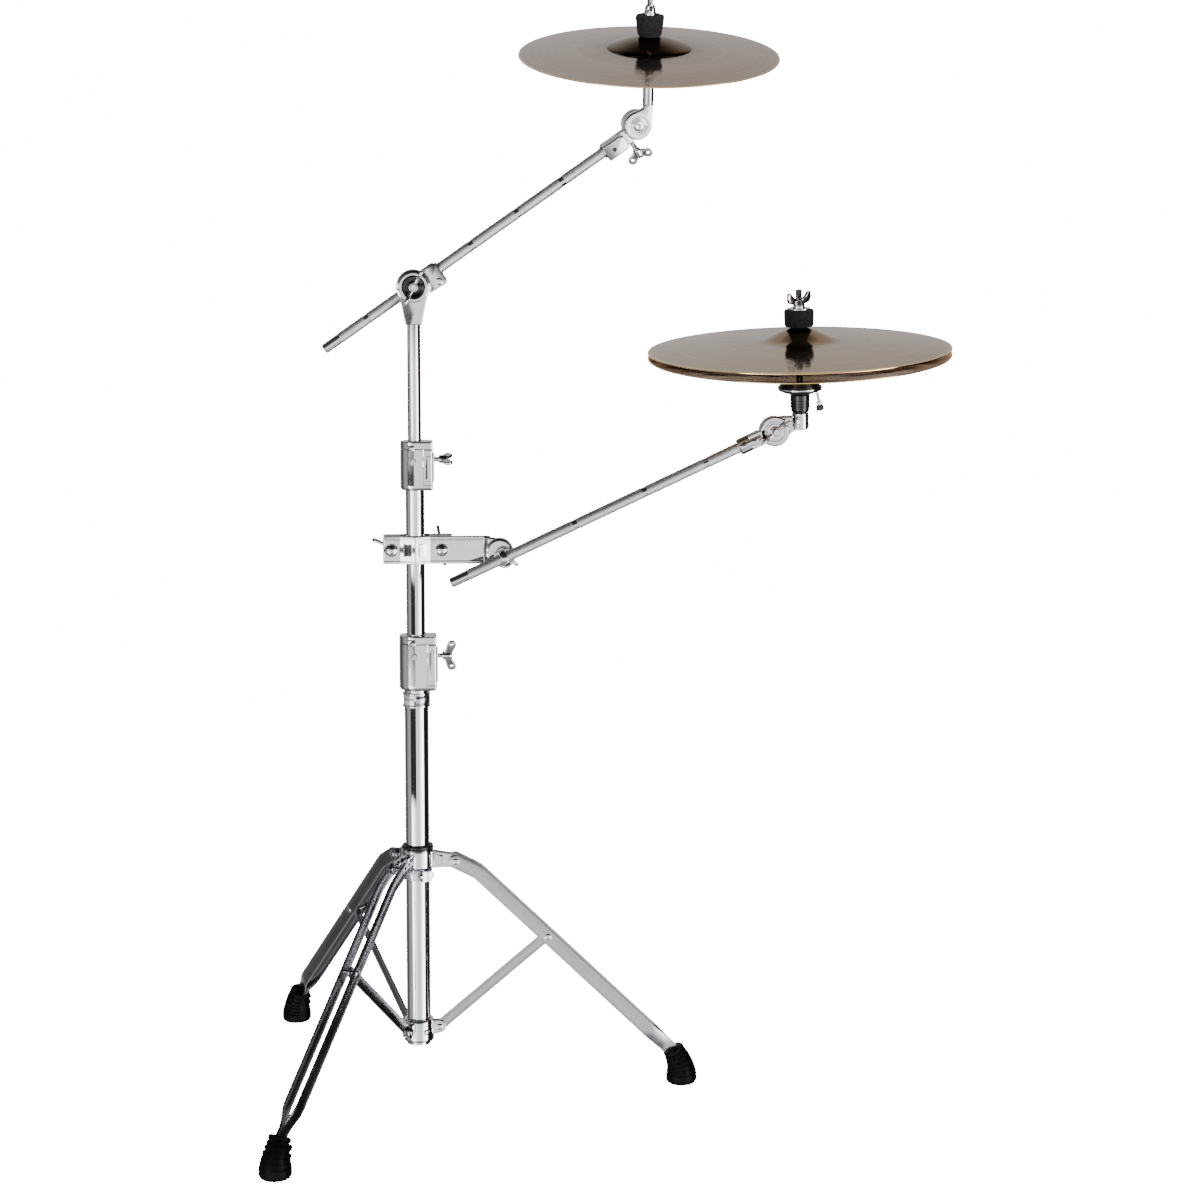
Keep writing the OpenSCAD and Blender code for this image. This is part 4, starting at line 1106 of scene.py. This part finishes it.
def make_multi_clamp():
    z0, z1 = CLAMP_Z - 16.5, CLAMP_Z + 16.5
    s = Solid()
    front = [(-38, -13, 2), (-18, -13, 4), (0, -20.9, 2.5), (18, -13, 4), (84, -15.8, 2), (88, -16)]
    back = [(88, -11), (18, -8.4, 3), (0, -16, 1.5), (-18, -8.4, 3), (-38, -8.4, 1.5)]
    loop = fillet(front + back)
    s.plate([loop], 32.8, shift(0, 0, CLAMP_Z), 0.8)
    for za, zb in ((z0 + 0.1, z0 + 4.0), (z1 - 4.0, z1 - 0.1)):
        flange = [(-37.8, -13.8, 1), (-18, -13.8, 4), (0, -21, 2), (18, -13.8, 4), (84, -16.6, 2),
            (84, -15, 0.5), (18, -10, 2), (0, -17, 2), (-18, -10, 2), (-37.8, -11, 1)]
        s.plate([flange], zb - za, shift(0, 0, (za + zb) / 2), 0.9)
    for side in (-1, 1):
        a, b = Vector((side * 3.0, -19.2)), Vector((side * 14.5, -14.2))
        middle = (a + b) / 2
        heading = math.degrees(math.atan2((b - a).y, (b - a).x))
        place = shift(middle.x, middle.y, CLAMP_Z) @ turn("Z", heading)
        pad = box_outline(-5.4, 5.4, -8.0, 8.0, 1.2)
        s.plate_xz([pad], 2.4, -0.6, place, 0.6)
    hub = shift(99, 0, CLAMP_Z - 2.5) @ UP_Y
    s.lathe([(0, -21.9), (13.5, -21.9, 0.6), (14.2, -21.0, 0.4), (16.4, -20.0, 1.6), (16.4, -9, 2.0),
        (14, -7.1, 1), (0, -7.1)], hub, 80)
    webbing = [(80, -15.6, 2), (99, -16.2, 4), (110, -8, 3), (110, 4, 3), (99, 13, 4), (80, 16.3, 2)]
    s.plate_xz([webbing], 8.5, -13.6, shift(0, 0, CLAMP_Z), 2.0)
    piece(s, "clamp_arm", WORLD, CHROME_CAST)

    rear = Solid()
    loop = [(-38, 12, 1.5), (-18, 12, 4), (0, 19.9, 2.5), (18, 12, 4), (44, 12, 1.5), (44, 8, 1.5),
        (18, 8, 3), (0, 16, 1.5), (-18, 8, 3), (-38, 8, 1.5)]
    rear.plate([loop], 31.8, shift(0, 0, CLAMP_Z + 0.5), 0.8)
    for x in CLAMP_BOLTS_X:
        rear.tube(4.3, 8.2, 11.9, 12.4, shift(x, 0, CLAMP_Z) @ UP_Y, 0.2, 40)
    piece(rear, "clamp_plate", WORLD, CHROME_CAST)

    bolts = Solid()
    for x in CLAMP_BOLTS_X:
        place = shift(x, 0, CLAMP_Z)
        threaded(bolts, BOLT_R, -12, 32, place @ UP_Y)
        dome(bolts, 7.8, 5.9, place @ shift(0, -13.5, 0) @ DOWN_Y, 0.9)
    piece(bolts, "clamp_bolts", WORLD, CHROME_PART)
    for node, joint, spin in (("clamp_nut_1", "multi_clamp_nut_1_turn", 20),
            ("clamp_nut_2", "multi_clamp_nut_2_turn", 80)):
        nut_piece(node, at_joint(joint) @ UP_Y @ turn("Z", spin), 15, 10, 50, 20, 4)


def make_rod_holder():
    place = at_joint("hat_arm_swing")
    tilt = place.inverted() @ AT_HAT_ROD
    s = Solid()
    s.ring([(4.2, 1.2, 0.3), (12.3, 1.2, 0.8), (12.3, 4.6), (12.3, 11.4, 0.8), (4.2, 11.4, 0.3)], UP_Y, 64)
    for side in (-1, 1):
        cheek = [(-10, side * 6.9, 1), (10, side * 6.9, 1), (7, side * 10.4, 2), (-7, side * 10.4, 2)]
        s.plate_xz([cheek], 7, 2.2, tilt, 0.8)
    piece(s, "rod_saddle", place, CHROME_CAST)

    eye = Solid()
    eye.tube(ROD_BORE, 10.7, -4.1, 4.1, UP_X, 0.5, 64, rim=1.6)
    threaded(eye, BOLT_R, 8, 51.9, UP_Y)
    piece(eye, "eye_bolt", AT_HAT_ROD, CHROME_PART)
    nut_piece("eye_nut", at_joint("rod_holder_nut_turn") @ UP_Y @ turn("Z", 40), 15, 10, 46, 20, 4)


# ---------- hi-hat arm ----------

def set_screw(solid, at, mat=1):
    """The mouth of a small set-screw hole with its socket, along local Z."""
    solid.lathe([(0, -0.4), (2.5, -0.4), (2.5, 0.25, 0.15), (1.9, 0.35, 0.1), (1.4, 0.2), (1.4, -0.2),
        (0, -0.2)], at, 28, mat=mat)


def make_hat_arm():
    make_rod("hat_rod", AT_HAT_ROD, -69.5, -46, 327.9, (92, 182, 262))
    s = Solid()
    s.ring([(ROD_BORE, 304, 0.4), (8.8, 304, 0.5), (9.9, 305.4, 0.5), (9.9, 332.5, 1.0), (8.5, 334, 0.6),
        (ROD_BORE, 334, 0.3)], UP_X, 64)
    s.plate_xz([box_outline(318, 341, -8.8, 8.8, 2)], 8.2, -4.7, None, 1.4)
    disc = shift(350, 0, 0) @ DOWN_Y
    s.lathe([(0, 0.6), (17.8, 0.6, 0.4), (17.8, 7.0, 1.2), (16.2, 8.8, 0.9), (12.0, 8.8, 0.5),
        (11.4, 8.2, 0.3), (8.6, 8.2, 0.3), (8.2, 9.0, 0.2), (4.2, 9.0), (4.2, 8.0), (0, 8.0)], disc, 80)
    for u in (311, 324):
        set_screw(s, shift(u, 0, 0) @ turn("X", 78) @ shift(0, 0, 9.8))
    piece(s, "hat_socket", AT_HAT_ROD, CHROME_CAST, BLACK)

    head = Solid()
    stack = AT_HAT_TILTER.inverted() @ AT_STACK
    stack.translation = stack.translation / MM
    head.lathe([(0, 0.6), (17.8, 0.6, 0.4), (17.8, 7.2, 1.2), (16.0, 8.8, 0.9), (0, 8.8)], UP_Y, 80)
    arm = [(-2, 16.6, 2), (20, 18.0, 3), (29.6, 17.2, 3), (29.6, 4.2, 3), (20, -3.6, 6), (14, -9, 3),
        (0, -6, 1)]
    head.plate_xz([arm], 8.0, 4.7, None, 1.3)
    threaded(head, BOLT_R, 0, 24, DOWN_Y, mat=1)
    head.lathe([(0, 0.2), (8.6, 0.2, 1.0), (9.8, 1.8, 0.6), (9.8, 19.2, 0.6), (8.8, 20.9, 0.8), (0, 20.9)],
        stack, 64)
    head.rod(5.9, 20, 53.9, stack, 0.4, 48)
    for z in (5.5, 15.0):
        for a in (-112, -25):
            set_screw(head, stack @ shift(0, 0, z) @ turn("Z", a) @ UP_X @ shift(0, 0, 9.75), mat=2)
    piece(head, "hat_head", AT_HAT_TILTER, CHROME_CAST, CHROME_PART, BLACK)

    nut = Solid()
    wing_nut(nut, Matrix(), 14, 9, 44, 14, 4)
    nut.tube(4.4, 9.4, 0.1, 1.2, None, 0.3, 48, rim=0.4)
    piece(nut, "hat_wing_nut", at_joint("hat_tilter_nut_turn") @ DOWN_Y @ turn("Z", 38), CHROME_PART)


def make_seat():
    s = Solid()
    s.ring([(6.1, 21.4, 0.3), (10.4, 21.4, 0.6), (10.8, 24, 0.2), (11.4, 38, 0.5), (11.4, 41),
        (12.2, 42, 0.5), (24.2, 46.4, 1.0), (24.4, 47.6), (24.4, 51.6), (23.8, 53, 1.0), (20.2, 60.6, 1.2),
        (6.1, 61, 0.4)], n=96)
    for z in (27.0, 30.5, 34.0):
        s.ring([(10.2, z, 0.2), (11.5, z, 0.3), (11.6, z + 1.4, 0.3), (10.2, z + 1.4, 0.2)], n=72)
    s.tube(24.0, 25.9, 47.1, 51.9, None, 0.3, 96, rim=0.8)
    s.tube(25.2, 26.0, 48.8, 50.2, None, 0.2, 96, mat=1, rim=0.3)
    piece(s, "hat_seat", AT_STACK, BLACK, CHROME_PART)
    screw = Solid()
    threaded(screw, 2.0, 0, 11, None, 0.8)
    screw.lathe([(0, 10.8), (2.2, 10.8), (3.7, 11.1, 0.4), (3.7, 13.9, 0.4), (2.0, 14.1), (2.0, 15),
        (0, 15)], None, 32)
    knob = [(0, 15), (3.6, 15, 0.4), (3.9, 16), (3.9, 21, 0.5), (2.8, 21.9, 0.4), (0, 21.9)]
    screw.lathe(knob, None, 32, mat=1)
    for k in range(18):
        screw.block((3.6, -0.35, 15.6), (4.4, 0.35, 21.2), turn("Z", 20 * k), 0.15, 0.15, mat=1)
    place = local(AT_STACK, 20.5, 0, 43) @ turn("Y", 170)
    piece(screw, "hat_seat_screw", place, CHROME_PART, BLACK)


def make_stack_top():
    s = Solid()
    threaded(s, BOLT_R, 54.4, 165.4, None, 1.25)
    piece(s, "hat_stem", AT_STACK, CHROME_PART)
    nut = Solid()
    nut.tube(4.3, 13.5, 0.0, 1.3, None, 0.2, 56, rim=0.3)
    wing_nut(nut, shift(0, 0, 1.2), 15, 9, 38, 18.8, 4)
    piece(nut, "hat_nut", local(AT_STACK, z=142.6) @ turn("Z", 35), CHROME_PART)


# ---------- studio ----------

def make_floor():
    bm = bmesh.new()
    bmesh.ops.create_circle(bm, cap_ends=True, radius=2.2, segments=96)
    mesh = bpy.data.meshes.new("studio_floor")
    bm.to_mesh(mesh)
    bm.free()
    floor = new_object("studio_floor", mesh)
    floor.location = (0, 0, -0.0006)
    floor.visible_glossy = False
    s = Shader("pale_floor", (0.9, 0.9, 0.9), 0.0, 0.9)
    s.set("Specular IOR Level", 0.0)
    s.set("Emission Color", WHITE)
    seen = s.node("ShaderNodeLightPath").outputs["Is Camera Ray"]
    s.set("Emission Strength", s.math("ADD", s.math("MULTIPLY", seen, BACKDROP), 0.3))
    mesh.materials.append(s.mat)


def make_world():
    """A soft white surround with the dark and grey cards that chrome needs to show its shape."""
    world = bpy.data.worlds.new("studio")
    bpy.context.scene.world = world
    world.use_nodes = True
    world.node_tree.nodes.clear()
    w = Nodes(world.node_tree)
    parts = w.node("ShaderNodeSeparateXYZ")
    w.link(w.node("ShaderNodeTexCoord").outputs["Generated"], parts.inputs[0])
    right, ahead, up = parts.outputs
    angle = w.math("ARCTAN2", right, w.math("MULTIPLY", ahead, -1.0))
    share = w.math("ADD", w.math("DIVIDE", angle, 2 * math.pi), 0.5)
    height, depth = [w.math("ADD", w.math("MULTIPLY", way, 0.5), 0.5) for way in (up, ahead)]

    def by_angle(stops):
        return w.ramp(share, [(degrees / 360 + 0.5, grey) for degrees, grey in stops])

    def by_height(stops):
        return w.ramp(height, [((z + 1) / 2, grey) for z, grey in stops])

    behind = w.ramp(depth, [(0.45, 0.0), (0.6, 1.0)])
    halves = w.mix(by_height(FRONT_HEIGHTS), by_height(BACK_HEIGHTS), behind)
    around = w.mix(by_angle(AROUND), halves, 1.0, "MULTIPLY")
    card = w.math("MULTIPLY", by_angle(CARD_AROUND), by_height(CARD_HEIGHTS))
    choose = w.node("ShaderNodeMixShader")
    w.link(w.node("ShaderNodeLightPath").outputs["Is Camera Ray"], choose.inputs[0])
    for socket, color, strength in ((1, w.mix(around, CARD, card), SURROUND), (2, WHITE, BACKDROP)):
        light = w.node("ShaderNodeBackground")
        w.put(color, light.inputs["Color"])
        light.inputs["Strength"].default_value = strength
        w.link(light.outputs[0], choose.inputs[socket])
    w.link(choose.outputs[0], w.node("ShaderNodeOutputWorld").inputs["Surface"])


BACKDROP = 16.0
SURROUND = 9.0
WHITE = (1, 1, 1, 1)
CARD = (0.004, 0.004, 0.004, 1)
BEIGE = (0.060, 0.052, 0.046)
BROWN = (0.030, 0.020, 0.013)
# Degrees about the vertical, 0 towards the front and + to the right, with the surround's grey there
AROUND = [(-180, 0.085), (-140, 0.04), (-122, 0.012), (-112, 0.012), (-98, 0.045), (-56, 0.06), (-49, 1.0),
    (-42, 0.55), (-26, 0.40), (-14, 0.20), (11, 0.15), (25, 0.17), (35, 0.45), (46, 0.60), (51, 1.0),
    (64, 1.0), (70, BROWN), (79, 0.002), (128, 0.002), (138, BEIGE), (180, 0.085)]
FRONT_HEIGHTS = [(-1.0, 0.10), (-0.62, 0.25), (-0.45, 1.0), (0.04, 1.0), (0.10, 0.30), (0.18, 0.04),
    (0.75, 0.006), (1.0, 0.006)]
# A dark card across the front, which the middle and upper tubes reflect
CARD_AROUND = [(-64, 0.0), (-58, 1.0), (-8, 1.0), (-4, 0.0)]
CARD_HEIGHTS = [(-0.195, 0.0), (-0.18, 1.0), (-0.07, 1.0), (-0.055, 0.0)]
BACK_HEIGHTS = [(-1.0, 0.7), (0.0, 0.8), (0.72, 1.0), (0.9, 0.12), (1.0, 0.006)]


def make_light(name, place, aim, size, power):
    lamp = bpy.data.lights.new(name, "AREA")
    lamp.shape = "RECTANGLE"
    lamp.size, lamp.size_y = size
    lamp.energy = power
    thing = new_object(name, lamp)
    thing.visible_glossy = False
    thing.location = place
    thing.rotation_euler = (Vector(aim) - Vector(place)).to_track_quat("-Z", "Y").to_euler()


def make_camera():
    camera = bpy.data.cameras.new("camera")
    camera.sensor_width = 36
    camera.lens = LENS
    camera.shift_y = LENS_SHIFT
    camera.clip_end = 100
    thing = new_object("camera", camera)
    thing.location = CAMERA_PLACE
    thing.rotation_euler = (math.radians(90 - LOOKS_DOWN), 0.0, -math.radians(LOOKS_RIGHT))
    bpy.context.scene.camera = thing


LENS = 77.09
LENS_SHIFT = -0.1           # keeps uprights close to parallel although the camera looks down
CAMERA_PLACE = (-0.0041, -3.019, 1.0617)
LOOKS_DOWN = 6.115
LOOKS_RIGHT = 4.224


make_camera()
make_world()
make_floor()
make_light("key", (-2.2, -2.2, 3.0), (0.1, 0, 0.7), (1.6, 1.6), 60)
make_light("fill", (2.6, -1.4, 2.2), (0.1, 0, 0.7), (1.2, 1.8), 20)
make_tubes()
make_base_bracket()
make_stop_ring()
make_badge_band()
make_collar()
make_legs()
make_braces()
make_feet()
make_clamps()
make_boom_tilter()
make_boom()
make_cymbals()
make_felts()
make_multi_clamp()
make_rod_holder()
make_hat_arm()
make_seat()
make_stack_top()
